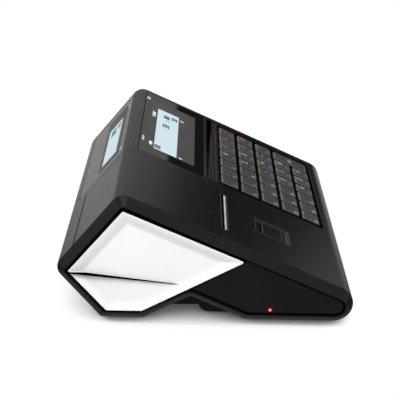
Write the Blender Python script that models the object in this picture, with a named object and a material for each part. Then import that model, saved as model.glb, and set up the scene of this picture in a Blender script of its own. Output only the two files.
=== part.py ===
"""Compact ticket register: a wedge housing with two displays, 34 keys and a lidded ticket printer.

The frame is in metres, +Z up. The operator stands at -Y, and +X is the operator's right. The origin
is the centre of the bounding box on the surface that the register stands on.
"""

import math

import bmesh
import bpy
from mathutils import Matrix, Vector

# Overall housing
HALF_WIDTH = 0.11825
BAND_WIDTH = 0.0055
BAND_DROP = 0.0053
BAND_LIP = 0.0006
WALL = 0.0025
FOOT_STAND = 0.002
CLEARANCE = 0.0003
OVERRUN = 0.003

# Side profile: the ridge over the two slopes, the nose in front and the undercut behind
RIDGE_Y = 0.05627
RIDGE_HEIGHT = 0.0920
RIDGE_RADIUS = 0.009
DECK_ANGLE = math.radians(24.2)
REAR_ANGLE = math.radians(50.75)
REAR_LENGTH = 0.0693
REAR_RADIUS = 0.0082
UNDERCUT_ANGLE = math.radians(50.2)
NOSE_RADIUS = 0.0126
SOLE_RADIUS = 0.003

# Arch between the front and the rear sole, each as long as the sole's corner lies from the arch
FRONT_SOLE_LENGTH = 0.11733907125
REAR_SOLE_LENGTH = 0.0281936424
ARCH_REAR_RUN = 0.03131
ARCH_HEIGHT = 0.01678
ARCH_RADIUS = 0.005
BELLY_HEIGHT = 0.0077
BELLY_RIB = 0.0105
BELLY_SLOPE_SHARE = 0.6
CREASE_LIP = 0.0004
CREASE_GROOVE_DEPTH = 0.0008

# Parting plane between the two housings
PARTING_FRONT_HEIGHT = 0.0130
PARTING_REAR_RISE = 0.00026735

# End pockets with the white panel, the skirt and the lamp
POCKET_DEPTH = 0.0060
PANEL_GAP = 0.0016
PANEL_BEVEL = 0.0085
PANEL_DISH = 0.0023
PANEL_THICKNESS = 0.0048
PANEL_LOW_SETBACK = 0.00055
PANEL_LOW_RISE = 0.0070
PANEL_TIP_S = 0.09212771
PANEL_TIP_DEPTH = 0.00771251
PANEL_CORNER_RADIUS = 0.0008
SKIRT_GAP = 0.0012
SKIRT_LIP = 0.0010
SKIRT_LIP_DROP = 0.0008
SKIRT_THICKNESS = 0.0050
LAMP_RADIUS = 0.0016
LAMP_SETBACK = 0.01585
LAMP_RISE = 0.0096
LAMP_LENGTH = 0.0045
LAMP_DOME_SHARES = ((0.5, 1.0), (0.125, 0.75), (0.0, 0.35))

# Operator's lens and display on the deck
LENS_LEFT_X = -0.0257
LENS_RIGHT_X = 0.1085
LENS_TOP_S = 0.0072
LENS_BOTTOM_S = 0.0590
LENS_THICKNESS = 0.0015
LENS_RADIUS = 0.0015
LENS_LEDGE = 0.0030
SCREEN_LEFT_X = -0.0123
SCREEN_RIGHT_X = 0.0952
SCREEN_TOP_S = 0.0126
SCREEN_BOTTOM_S = 0.0512
SCREEN_THICKNESS = 0.0045

# Customer's lens and display on the rear slope
GUEST_LENS_LEFT_X = -0.0240
GUEST_LENS_RIGHT_X = 0.1085
GUEST_LENS_TOP_S = 0.0072
GUEST_LENS_BOTTOM_S = 0.0580
GUEST_SCREEN_LEFT_X = -0.0123
GUEST_SCREEN_RIGHT_X = 0.0952
GUEST_SCREEN_TOP_S = 0.0130
GUEST_SCREEN_BOTTOM_S = 0.0375

# Ribbed strip between the lens and the keys
RIB_COUNT = 3
RIB_FIRST_S = 0.0628
RIB_PITCH = 0.00305
RIB_WIDTH = 0.0012
RIB_DEPTH = 0.0008

# Key well and keys
KEY_PITCH_X = 0.01731
KEY_PITCH_S = 0.01685
KEY_GAP_X = 0.0021
KEY_GAP_S = 0.00265
KEY_ROWS = 5
KEY_COLUMNS = 7
KEY_LEFT_X = -0.01835
KEY_TOP_S = 0.0735
KEY_HEIGHT = 0.0046
KEY_TAPER = 0.0007
KEY_CROWN = 0.0006
KEY_TRAVEL = 0.0020
KEY_STEM_WIDTH = 0.0050
KEY_STEM_LENGTH = 0.0034
KEY_STOP_GAP = 0.0006
WELL_MARGIN_LEFT = 0.00565
WELL_MARGIN_RIGHT = 0.0050
WELL_MARGIN_TOP = 0.0019
WELL_MARGIN_BOTTOM = 0.0027
WELL_RADIUS = 0.0030
GUIDE_THICKNESS = 0.0018
GUIDE_MARGIN = 0.0012
MAT_GAP = 0.0012
MAT_THICKNESS = 0.0010
BOARD_THICKNESS = 0.0016

# Printer lid
LID_RIGHT_X = -0.0310
LID_FRONT_S = 0.0728
LID_HINGE_S = 0.0475
LID_BARREL_RADIUS = 0.0014
LID_SEAM = 0.00035
LID_WALL = 0.0022
BAY_DEPTH = 0.0040
PIN_RADIUS = 0.00065
PIN_LENGTH = 0.0030
PIN_SEAT = 0.0010

# Paper slot, tear bar and latch
SLOT_LEFT_X = -0.0990
SLOT_WIDTH = 0.0580
SLOT_OPENING = 0.0019
TEAR_BAR_THICKNESS = 0.0012
TEAR_BAR_DEPTH = 0.0045
TEAR_PEAK = 0.0002
TEAR_VALLEY = 0.0009
TEAR_TEETH = 28
LATCH_RECESS_LEFT_X = -0.0802
LATCH_RECESS_RIGHT_X = -0.0586
LATCH_RECESS_TOP_S = 0.0985
LATCH_RECESS_BOTTOM_S = 0.1240
LATCH_RECESS_DEPTH = 0.0018
LATCH_BUTTON_WIDTH = 0.0178
LATCH_BUTTON_LENGTH = 0.0160
LATCH_BUTTON_HEIGHT = 0.0044
LATCH_BEVEL = 0.0006
LATCH_SINK = 0.0003
LATCH_GUIDE_DEPTH = 0.0060

# Printer: bucket, roller, head, gears and motor
BUCKET_LEFT_X = -0.1020
BUCKET_RIGHT_X = -0.0410
BUCKET_RADIUS = 0.0235
BUCKET_WALL = 0.0016
BUCKET_AXIS_SETBACK = 0.00827
BUCKET_AXIS_DEPTH = 0.0440
ROLLER_RADIUS = 0.0050
ROLLER_SHAFT_RADIUS = 0.0015
ROLLER_S = 0.0655
ROLLER_DEPTH = 0.0105
ROLLER_LEFT_X = -0.0995
ROLLER_RIGHT_X = -0.0415
CHEEK_THICKNESS = 0.0018
CHEEK_WIDTH = 0.0060
HEAD_THICKNESS = 0.0020
HEAD_HEIGHT = 0.0100
HEAD_TOP = 0.0056
HEAD_GAP = 0.0004
BED_GAP = 0.0030
FRAME_PLATE = 0.0026
BUCKET_RIM = 0.0020
BUCKET_CORNER = 0.0180
BUCKET_CORNER_STEPS = 4
GEAR_MODULE = 0.0005
ROLLER_TEETH = 18
IDLER_TEETH = 28
PINION_TEETH = 12
GEAR_WIDTH = 0.0030
GEAR_BACKLASH = 0.00022
GEAR_X = -0.0388
PRESSURE_ANGLE = math.radians(20)
ADDENDUM_SHARE = 0.9
DEDENDUM_SHARE = 1.25
STUB_RADIUS = 0.0012
MOTOR_RADIUS = 0.0070
MOTOR_LENGTH = 0.0140
MOTOR_BORE_DEPTH = 0.0030

# Underside: battery compartment, feet and screws
BATTERY_SETBACK = 0.00544
BULGE_INSET_X = 0.01325
BULGE_RISE = 0.0006
BULGE_OVERLAP = 0.0040
BATTERY_LEFT_X = -0.0980
BATTERY_RIGHT_X = -0.0300
BATTERY_DOOR_LENGTH = 0.0220
BATTERY_DOOR_THICKNESS = 0.0016
BATTERY_RADIUS = 0.0070
FOOT_HALF_LENGTH = 0.0040
FOOT_SINK = 0.0008
FOOT_INSET_X = 0.0260
FOOT_FRONT_SETBACK = 0.00721532234
FOOT_REAR_SETBACK = 0.02135
SCREW_RADIUS = 0.0028
SCREW_SHANK_RADIUS = 0.0014
SCREW_GRIP = 0.0080
SHORT_SCREW_MARGIN = 0.0040
SCREW_SINK = 0.0032
SCREW_X = 0.0780
SCREW_FRONT_SETBACK = 0.03735
SCREW_REAR_SETBACK = 0.01135
COLUMN_RADIUS = 0.0045
SHORT_COLUMN_HEIGHT = 0.0180

# Facets
ARC_STEPS = 6
BARREL_STEPS = 8
NOSE_STEPS = 12
ROUND_SIDES = 24
HOLE_SIDES = 16
SHAFT_SIDES = 12
BUCKET_SIDES = 32


def clear_scene():
    """Remove every object that the scene holds."""
    for item in list(bpy.data.objects):
        bpy.data.objects.remove(item, do_unlink=True)


def make_material(name, colour, roughness, metallic=0.0):
    """Return a Principled BSDF material."""
    material = bpy.data.materials.new(name)
    material.use_nodes = True
    shader = material.node_tree.nodes["Principled BSDF"]
    shader.inputs["Base Color"].default_value = (*colour, 1.0)
    shader.inputs["Roughness"].default_value = roughness
    shader.inputs["Metallic"].default_value = metallic
    return material


def finish(name, bm, material, frame=None, smooth=False):
    """Turn a bmesh into a named object, placed by frame, with its faces pointing out."""
    bmesh.ops.recalc_face_normals(bm, faces=bm.faces)
    mesh = bpy.data.meshes.new(name)
    bm.to_mesh(mesh)
    bm.free()
    if smooth:
        mesh.shade_smooth()
        mesh.set_sharp_from_angle(angle=math.radians(35))
    mesh.materials.append(material)
    thing = bpy.data.objects.new(name, mesh)
    bpy.context.collection.objects.link(thing)
    if frame is not None:
        thing.matrix_world = frame
    return thing


def as_cutter(thing):
    """Mark an object as a cutter that is not part of the model."""
    thing.hide_render = True
    thing.display_type = "WIRE"
    return thing


def cut(target, cutter, operation="DIFFERENCE"):
    """Join, cut or intersect a target with a cutter."""
    modifier = target.modifiers.new(cutter.name, "BOOLEAN")
    modifier.operation = operation
    modifier.object = as_cutter(cutter)
    modifier.solver = "EXACT"


def add_prism(bm, points, start, end):
    """Extrude an outline of (y, z) points along X from start to end."""
    first = [bm.verts.new((start, y, z)) for y, z in points]
    last = [bm.verts.new((end, y, z)) for y, z in points]
    bridge(bm, first, last)
    bm.faces.new(first)
    bm.faces.new(list(reversed(last)))


def bridge(bm, first, last):
    """Join two rings of the same count with side faces."""
    count = len(first)
    for index in range(count):
        after = (index + 1) % count
        bm.faces.new((first[index], first[after], last[after], last[index]))


def add_box(bm, low, high):
    """Add a box between two corners."""
    xs, ys, zs = zip(low, high)
    middle = Vector(((xs[0] + xs[1]) / 2, (ys[0] + ys[1]) / 2, (zs[0] + zs[1]) / 2))
    size = Matrix.Diagonal((xs[1] - xs[0], ys[1] - ys[0], zs[1] - zs[0], 1))
    bmesh.ops.create_cube(bm, size=1, matrix=Matrix.Translation(middle) @ size)


def add_rod(bm, centre, radius, start, end, sides=ROUND_SIDES):
    """Add a cylinder along X round a (y, z) centre."""
    points = []
    for index in range(sides):
        angle = math.tau * index / sides
        points.append((centre[0] + radius * math.cos(angle), centre[1] + radius * math.sin(angle)))
    add_prism(bm, points, start, end)


def round_corners(corners, inset=0.0):
    """Return the points of an outline with round corners, its sides moved in by inset.

    Each corner is (u, v, radius, steps), anticlockwise. An outer corner's radius shrinks by the
    inset and an inner corner's grows, so that every inset outline has the same count of points.
    """
    places = [Vector((corner[0], corner[1])) for corner in corners]
    count = len(places)
    points = []
    for index, corner in enumerate(corners):
        before = (places[index] - places[index - 1]).normalized()
        after = (places[(index + 1) % count] - places[index]).normalized()
        turn = math.atan2(before.x * after.y - before.y * after.x, before.dot(after))
        inward = Vector((-before.y, before.x))
        along = inset * math.tan(turn / 2)
        sharp = places[index] + inward * inset - before * along
        radius = corner[2] - inset if turn > 0 else corner[2] + inset
        steps = corner[3]
        if radius <= CLEARANCE:
            radius = CLEARANCE
        side = 1 if turn > 0 else -1
        start = sharp - before * radius * math.tan(abs(turn) / 2)
        centre = start + inward * radius * side
        arm = start - centre
        for step in range(steps + 1):
            angle = turn * step / steps
            points.append((centre.x + arm.x * math.cos(angle) - arm.y * math.sin(angle),
                           centre.y + arm.x * math.sin(angle) + arm.y * math.cos(angle)))
    return points


def line_crossing(point_a, angle_a, point_b, angle_b):
    """Return where two lines cross, each given by a point and its angle."""
    run_a = Vector((math.cos(angle_a), math.sin(angle_a)))
    run_b = Vector((math.cos(angle_b), math.sin(angle_b)))
    gap = Vector(point_b) - Vector(point_a)
    share = (gap.x * run_b.y - gap.y * run_b.x) / (run_a.x * run_b.y - run_a.y * run_b.x)
    return Vector(point_a) + run_a * share


# Places worked out from the sizes
RIDGE = Vector((RIDGE_Y, RIDGE_HEIGHT))
REAR_CORNER = RIDGE + REAR_LENGTH * Vector((math.cos(REAR_ANGLE), -math.sin(REAR_ANGLE)))
NOSE_CORNER = line_crossing(RIDGE, DECK_ANGLE, (0, FOOT_STAND), 0)
HEEL_CORNER = line_crossing(REAR_CORNER, UNDERCUT_ANGLE, (0, FOOT_STAND), 0)
NOSE_CENTRE_Y = NOSE_CORNER.x + NOSE_RADIUS / math.tan(DECK_ANGLE / 2)
NOSE_FRONT_Y = NOSE_CENTRE_Y - NOSE_RADIUS
PARTING_LOW = FOOT_STAND + PARTING_FRONT_HEIGHT
PARTING_RUN = REAR_CORNER.x - NOSE_FRONT_Y
PARTING_SLOPE = (REAR_CORNER.y + PARTING_REAR_RISE - PARTING_LOW) / PARTING_RUN
ARCH_FRONT_Y = NOSE_CORNER.x + FRONT_SOLE_LENGTH
ARCH_REAR_Y = HEEL_CORNER.x - REAR_SOLE_LENGTH
ARCH_PEAK_Y = ARCH_REAR_Y - ARCH_REAR_RUN
PANEL_LOW_FRONT_Y = ARCH_REAR_Y + PANEL_LOW_SETBACK
PANEL_LOW_HEIGHT = FOOT_STAND + PANEL_LOW_RISE
LAMP_Y = ARCH_FRONT_Y - LAMP_SETBACK
LAMP_HEIGHT = FOOT_STAND + LAMP_RISE
BUCKET_AXIS_Y = RIDGE_Y - BUCKET_AXIS_SETBACK
BUCKET_AXIS_Z = RIDGE_HEIGHT - BUCKET_AXIS_DEPTH
BATTERY_REAR_Y = ARCH_PEAK_Y - BATTERY_SETBACK
FOOT_FRONT_Y = NOSE_CENTRE_Y + FOOT_FRONT_SETBACK
FOOT_REAR_Y = ARCH_REAR_Y + FOOT_REAR_SETBACK
SCREW_FRONT_Y = ARCH_FRONT_Y - SCREW_FRONT_SETBACK
SCREW_REAR_Y = ARCH_REAR_Y + SCREW_REAR_SETBACK
END_X = HALF_WIDTH
CREASE_X = HALF_WIDTH - BAND_WIDTH
POCKET_X = HALF_WIDTH - POCKET_DEPTH
INNER_X = POCKET_X - WALL
BELLY_X = HALF_WIDTH - BELLY_RIB
LID_LEFT_X = -(CREASE_X - CREASE_LIP - LID_SEAM)
WELL_LEFT_X = KEY_LEFT_X - WELL_MARGIN_LEFT
WELL_RIGHT_X = KEY_LEFT_X + KEY_COLUMNS * KEY_PITCH_X - KEY_GAP_X + WELL_MARGIN_RIGHT
WELL_TOP_S = KEY_TOP_S - WELL_MARGIN_TOP
WELL_BOTTOM_S = KEY_TOP_S + KEY_ROWS * KEY_PITCH_S - KEY_GAP_S + WELL_MARGIN_BOTTOM
GUIDE_DEPTH = KEY_HEIGHT + KEY_TRAVEL + KEY_STOP_GAP
MAT_DEPTH = GUIDE_DEPTH + GUIDE_THICKNESS + MAT_GAP
BAR_REAR_S = LID_FRONT_S + SLOT_OPENING
BAR_FRONT_S = BAR_REAR_S + TEAR_BAR_THICKNESS
HEAD_S = ROLLER_S + ROLLER_RADIUS + HEAD_GAP
FRAME_RIGHT_X = GEAR_X - CLEARANCE
LATCH_LEFT_X = (LATCH_RECESS_LEFT_X + LATCH_RECESS_RIGHT_X - LATCH_BUTTON_WIDTH) / 2
LATCH_TOP_S = (LATCH_RECESS_TOP_S + LATCH_RECESS_BOTTOM_S - LATCH_BUTTON_LENGTH) / 2
BULGE_X = HALF_WIDTH - BULGE_INSET_X
BULGE_LOW = FOOT_STAND + BULGE_RISE
BULGE_FRONT_Y = ARCH_FRONT_Y - BULGE_OVERLAP
BATTERY_DOOR_REAR_Y = BATTERY_REAR_Y - BATTERY_RADIUS
BATTERY_DOOR_FRONT_Y = BATTERY_DOOR_REAR_Y - BATTERY_DOOR_LENGTH
SCREW_SEAT = FOOT_STAND + SCREW_SINK
TALL_SCREWS = [(-SCREW_X, SCREW_FRONT_Y), (SCREW_X, SCREW_REAR_Y)]
SHORT_SCREWS = [(SCREW_X, SCREW_FRONT_Y), (-SCREW_X, SCREW_REAR_Y)]
ALL_SCREWS = TALL_SCREWS + SHORT_SCREWS
SHORT_TOP = FOOT_STAND + SHORT_COLUMN_HEIGHT
SHORT_COLUMNS = [(x, y, SHORT_TOP) for x, y in SHORT_SCREWS]

DECK = Matrix(((1, 0, 0, 0),
               (0, math.cos(DECK_ANGLE), -math.sin(DECK_ANGLE), RIDGE_Y),
               (0, math.sin(DECK_ANGLE), math.cos(DECK_ANGLE), RIDGE_HEIGHT),
               (0, 0, 0, 1)))
REAR = Matrix(((1, 0, 0, 0),
               (0, math.cos(REAR_ANGLE), math.sin(REAR_ANGLE), RIDGE_Y),
               (0, -math.sin(REAR_ANGLE), math.cos(REAR_ANGLE), RIDGE_HEIGHT),
               (0, 0, 0, 1)))


def deck_point(distance, depth):
    """Return the (y, z) place at a distance down the deck and a depth under it."""
    place = DECK @ Vector((0, -distance, -depth))
    return Vector((place.y, place.z))


def rear_point(distance, depth):
    """Return the (y, z) place at a distance down the rear slope and a depth under it."""
    place = REAR @ Vector((0, distance, -depth))
    return Vector((place.y, place.z))


def profile_corners(arched=True):
    """Return the side profile's corners, with the arch or with the belly's flat recess."""
    if arched:
        under = [
            (ARCH_FRONT_Y, FOOT_STAND, ARCH_RADIUS, 2),
            (ARCH_PEAK_Y, FOOT_STAND + ARCH_HEIGHT, ARCH_RADIUS, 4),
            (ARCH_REAR_Y, FOOT_STAND, ARCH_RADIUS, 2),
        ]
    else:
        slope = BELLY_HEIGHT * BELLY_SLOPE_SHARE
        under = [
            (BATTERY_REAR_Y, FOOT_STAND + BULGE_RISE, BATTERY_RADIUS, 4),
            (BATTERY_REAR_Y, FOOT_STAND + BELLY_HEIGHT, CLEARANCE, 2),
            (ARCH_REAR_Y - slope, FOOT_STAND + BELLY_HEIGHT, SOLE_RADIUS, 2),
            (ARCH_REAR_Y, FOOT_STAND, SOLE_RADIUS, 2),
        ]
    return [
        (NOSE_CORNER.x, NOSE_CORNER.y, NOSE_RADIUS, NOSE_STEPS),
        *under,
        (HEEL_CORNER.x, HEEL_CORNER.y, SOLE_RADIUS, 3),
        (REAR_CORNER.x, REAR_CORNER.y, REAR_RADIUS, ARC_STEPS),
        (RIDGE.x, RIDGE.y, RIDGE_RADIUS, ARC_STEPS),
    ]


def end_rings(side, grooved):
    """Return one end's rings as (x, inset), from the pocket's floor out over the band to the crease."""
    floor = BAND_DROP + BAND_LIP
    rings = [(POCKET_X, floor), (END_X, floor), (END_X, BAND_DROP), (CREASE_X, 0)]
    if grooved:
        near = CREASE_X - CREASE_LIP
        far = near - LID_SEAM
        rings += [(near, 0), (near, CREASE_GROOVE_DEPTH), (far, CREASE_GROOVE_DEPTH), (far, 0)]
    return [(side * x, inset) for x, inset in rings]


def add_body(bm, grooved):
    """Add the housing's outer form: the profile, a chamfered band at each end and the end pockets."""
    places = end_rings(-1, grooved) + list(reversed(end_rings(1, grooved)))
    rings = []
    for x, inset in places:
        outline = round_corners(profile_corners(), inset)
        rings.append([bm.verts.new((x, y, z)) for y, z in outline])
    for first, last in zip(rings, rings[1:]):
        bridge(bm, first, last)
    bm.faces.new(rings[0])
    bm.faces.new(list(reversed(rings[-1])))


def parting_height(y):
    """Return the height of the parting plane at a place along Y."""
    return PARTING_LOW + (y - NOSE_FRONT_Y) * PARTING_SLOPE


def half_space(name, above, gap):
    """Return a cutter that covers all above or below the parting plane, a gap away from it."""
    front = NOSE_FRONT_Y - OVERRUN
    rear = REAR_CORNER.x + OVERRUN
    far = RIDGE_HEIGHT + OVERRUN if above else -OVERRUN
    shift = gap if above else -gap
    points = [(front, parting_height(front) + shift), (rear, parting_height(rear) + shift)]
    points += [(rear, far), (front, far)]
    bm = bmesh.new()
    add_prism(bm, points, -END_X - OVERRUN, END_X + OVERRUN)
    return finish(name, bm, PLASTIC)


def prism_object(name, points, start, end, material):
    """Return an outline extruded along X as an object."""
    bm = bmesh.new()
    add_prism(bm, points, start, end)
    return finish(name, bm, material)


PLASTIC = make_material("black_housing_plastic", (0.020, 0.020, 0.019), 0.42)
SKIRT_PLASTIC = make_material("black_skirt_plastic", (0.012, 0.012, 0.011), 0.30)
WHITE_PLASTIC = make_material("white_panel_plastic", (0.90, 0.90, 0.88), 0.35)
KEY_PLASTIC = make_material("grey_key_plastic", (0.055, 0.056, 0.054), 0.38)
LENS_PLASTIC = make_material("dark_lens_plastic", (0.006, 0.006, 0.007), 0.06)
SCREEN_GLASS = make_material("pale_display_glass", (0.68, 0.82, 0.88), 0.12)
LAMP_PLASTIC = make_material("red_lamp_plastic", (0.85, 0.03, 0.04), 0.20)
RUBBER = make_material("black_rubber", (0.018, 0.018, 0.018), 0.80)
MAT_RUBBER = make_material("grey_mat_rubber", (0.20, 0.20, 0.21), 0.75)
STEEL = make_material("bright_steel", (0.62, 0.63, 0.65), 0.28, 1.0)
INNER_PLASTIC = make_material("grey_inner_plastic", (0.09, 0.09, 0.095), 0.55)
GEAR_PLASTIC = make_material("white_gear_plastic", (0.72, 0.71, 0.66), 0.45)
BOARD_PLASTIC = make_material("green_board", (0.02, 0.13, 0.06), 0.45)
ALUMINIUM = make_material("head_aluminium", (0.66, 0.67, 0.69), 0.35, 1.0)


def rectangle(left, right, low, high, radius=0.0, steps=2):
    """Return a rectangle's outline, with round corners where a radius is given."""
    if radius <= 0:
        return [(left, low), (right, low), (right, high), (left, high)]
    corners = [(left, low, radius, steps), (right, low, radius, steps),
               (right, high, radius, steps), (left, high, radius, steps)]
    return round_corners(corners)


def add_plate(bm, points, low, high):
    """Extrude an outline of (x, y) points along Z from low to high."""
    first = [bm.verts.new((x, y, low)) for x, y in points]
    last = [bm.verts.new((x, y, high)) for x, y in points]
    bridge(bm, first, last)
    bm.faces.new(first)
    bm.faces.new(list(reversed(last)))


def plate_object(name, points, low, high, material, frame=None):
    """Return an outline extruded along Z, placed by a frame."""
    bm = bmesh.new()
    add_plate(bm, points, low, high)
    return finish(name, bm, material, frame)


def deck_plate(name, left, right, top, bottom, shallow, deep, material, radius=0.0):
    """Return a plate in the deck's frame, between two distances down the deck and two depths."""
    return plate_object(name, rectangle(left, right, -bottom, -top, radius), -deep, -shallow, material, DECK)


def rear_plate(name, left, right, top, bottom, shallow, deep, material, radius=0.0):
    """Return a plate in the rear slope's frame, between two distances down it and two depths."""
    return plate_object(name, rectangle(left, right, top, bottom, radius), -deep, -shallow, material, REAR)


def add_columns(bm, columns, radius, low):
    """Add upright cylinders, each at its place and up to its own height."""
    for x, y, top in columns:
        middle = Matrix.Translation((x, y, (low + top) / 2))
        bmesh.ops.create_cone(bm, cap_ends=True, segments=12, radius1=radius, radius2=radius,
                              depth=top - low, matrix=middle)


def columns_object(name, columns, radius, low, material):
    """Return upright cylinders as one object."""
    bm = bmesh.new()
    add_columns(bm, columns, radius, low)
    return finish(name, bm, material)


def cavity_cutter(name, arched, half_length, columns):
    """Return the hollow inside the housing, with the screw columns left standing."""
    points = round_corners(profile_corners(arched), WALL)
    hollow = prism_object(name, points, -half_length, half_length, PLASTIC)
    cut(hollow, columns_object(name + "_columns", columns, COLUMN_RADIUS, -OVERRUN, PLASTIC))
    return hollow


def foot_outline(y, grow):
    """Return the outline of a rubber foot strip across the sole at a place along Y."""
    half = END_X - FOOT_INSET_X + grow
    wide = FOOT_HALF_LENGTH + grow
    return rectangle(-half, half, y - wide, y + wide, wide - CLEARANCE, 4)


def make_upper_housing():
    """Make the upper housing: the wedge shell above the parting plane, with all its openings."""
    bm = bmesh.new()
    add_body(bm, True)
    shell = finish("upper_housing", bm, PLASTIC)
    cut(shell, half_space("above_parting", True, CLEARANCE / 2), "INTERSECT")
    tall = [(x, y, RIDGE_HEIGHT + OVERRUN) for x, y in TALL_SCREWS]
    cut(shell, cavity_cutter("upper_hollow", True, INNER_X, tall))
    cut_lens_openings(shell)
    cut_key_well(shell)
    cut_lid_bay(shell)
    cut_latch(shell)
    cut(shell, screw_holes("upper_screw_holes", TALL_SCREWS))


def cut_lens_openings(shell):
    """Cut each lens's seat and the window under it."""
    seat = LENS_THICKNESS + CLEARANCE
    through = WALL + OVERRUN
    grow = CLEARANCE
    cut(shell, deck_plate("lens_seat", LENS_LEFT_X - grow, LENS_RIGHT_X + grow, LENS_TOP_S - grow,
                          LENS_BOTTOM_S + grow, -OVERRUN, seat, PLASTIC, LENS_RADIUS))
    cut(shell, deck_plate("lens_window", LENS_LEFT_X + LENS_LEDGE, LENS_RIGHT_X - LENS_LEDGE,
                          LENS_TOP_S + LENS_LEDGE, LENS_BOTTOM_S - LENS_LEDGE, -OVERRUN, through, PLASTIC))
    cut(shell, rear_plate("guest_seat", GUEST_LENS_LEFT_X - grow, GUEST_LENS_RIGHT_X + grow,
                          GUEST_LENS_TOP_S - grow, GUEST_LENS_BOTTOM_S + grow, -OVERRUN, seat, PLASTIC,
                          LENS_RADIUS))
    cut(shell, rear_plate("guest_window", GUEST_LENS_LEFT_X + LENS_LEDGE, GUEST_LENS_RIGHT_X - LENS_LEDGE,
                          GUEST_LENS_TOP_S + LENS_LEDGE, GUEST_LENS_BOTTOM_S - LENS_LEDGE, -OVERRUN, through,
                          PLASTIC))
    for index in range(RIB_COUNT):
        middle = RIB_FIRST_S + index * RIB_PITCH
        cut(shell, deck_plate(f"rib_groove_{index + 1}", WELL_LEFT_X, WELL_RIGHT_X, middle - RIB_WIDTH / 2,
                              middle + RIB_WIDTH / 2, -OVERRUN, RIB_DEPTH, PLASTIC))


def cut_key_well(shell):
    """Cut the opening that the keys stand in."""
    cut(shell, deck_plate("key_well", WELL_LEFT_X, WELL_RIGHT_X, WELL_TOP_S, WELL_BOTTOM_S, -OVERRUN,
                          WALL + OVERRUN, PLASTIC, WELL_RADIUS))


def cut_lid_bay(shell):
    """Cut the printer lid's bay, its hinge pin holes and the paper slot in front of it."""
    front = LID_FRONT_S + LID_SEAM
    rear = LID_HINGE_S + LID_BARREL_RADIUS + CLEARANCE
    outside = [deck_point(front, -OVERRUN), RIDGE + Vector((0, OVERRUN / math.cos(DECK_ANGLE))),
               rear_point(rear, -OVERRUN)]
    inside = [rear_point(rear, BAY_DEPTH), rear_point(BAY_DEPTH, BAY_DEPTH),
              deck_point(BAY_DEPTH, BAY_DEPTH), deck_point(front, BAY_DEPTH)]
    cut(shell, prism_object("lid_bay", outside + inside, LID_LEFT_X - LID_SEAM,
                            LID_RIGHT_X + LID_SEAM, PLASTIC))
    axis = rear_point(LID_HINGE_S, LID_BARREL_RADIUS)
    bm = bmesh.new()
    add_rod(bm, axis, PIN_RADIUS + CLEARANCE, LID_LEFT_X - PIN_SEAT - CLEARANCE,
            LID_RIGHT_X + PIN_LENGTH + CLEARANCE, SHAFT_SIDES)
    cut(shell, finish("pin_holes", bm, PLASTIC))
    cut(shell, deck_plate("slot_notch", SLOT_LEFT_X, SLOT_LEFT_X + SLOT_WIDTH, LID_FRONT_S - OVERRUN,
                          BAR_FRONT_S + CLEARANCE, -OVERRUN, WALL + OVERRUN, PLASTIC))


def cut_latch(shell):
    """Add the latch guide's block under the deck, then cut the finger recess and the button's hole."""
    low = WALL / 2
    cut(shell, deck_plate("latch_guide", LATCH_RECESS_LEFT_X - WALL, LATCH_RECESS_RIGHT_X + WALL,
                          LATCH_RECESS_TOP_S - WALL, LATCH_RECESS_BOTTOM_S + WALL, low,
                          LATCH_GUIDE_DEPTH, PLASTIC), "UNION")
    cut(shell, deck_plate("latch_recess", LATCH_RECESS_LEFT_X, LATCH_RECESS_RIGHT_X, LATCH_RECESS_TOP_S,
                          LATCH_RECESS_BOTTOM_S, -OVERRUN, LATCH_RECESS_DEPTH, PLASTIC, LENS_RADIUS))
    grow = CLEARANCE
    cut(shell, deck_plate("latch_hole", LATCH_LEFT_X - grow, LATCH_LEFT_X + LATCH_BUTTON_WIDTH + grow,
                          LATCH_TOP_S - grow, LATCH_TOP_S + LATCH_BUTTON_LENGTH + grow, -OVERRUN,
                          LATCH_GUIDE_DEPTH + OVERRUN, PLASTIC))


def screw_top(x, y):
    """Return how high the screw at a place reaches: past the parting plane, or inside a short column."""
    if (x, y) in TALL_SCREWS:
        return parting_height(y) + SCREW_GRIP
    return SHORT_TOP - SHORT_SCREW_MARGIN


def screw_holes(name, places):
    """Return the cutter of the screw holes, each with the counterbore of its head."""
    bm = bmesh.new()
    tops = [(x, y, screw_top(x, y) + CLEARANCE) for x, y in places]
    add_columns(bm, tops, SCREW_SHANK_RADIUS + CLEARANCE, -OVERRUN)
    shanks = finish(name, bm, PLASTIC)
    heads = columns_object(name + "_heads", [(x, y, SCREW_SEAT) for x, y in places],
                           SCREW_RADIUS + CLEARANCE, -OVERRUN, PLASTIC)
    cut(shanks, heads, "UNION")
    return shanks


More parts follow.
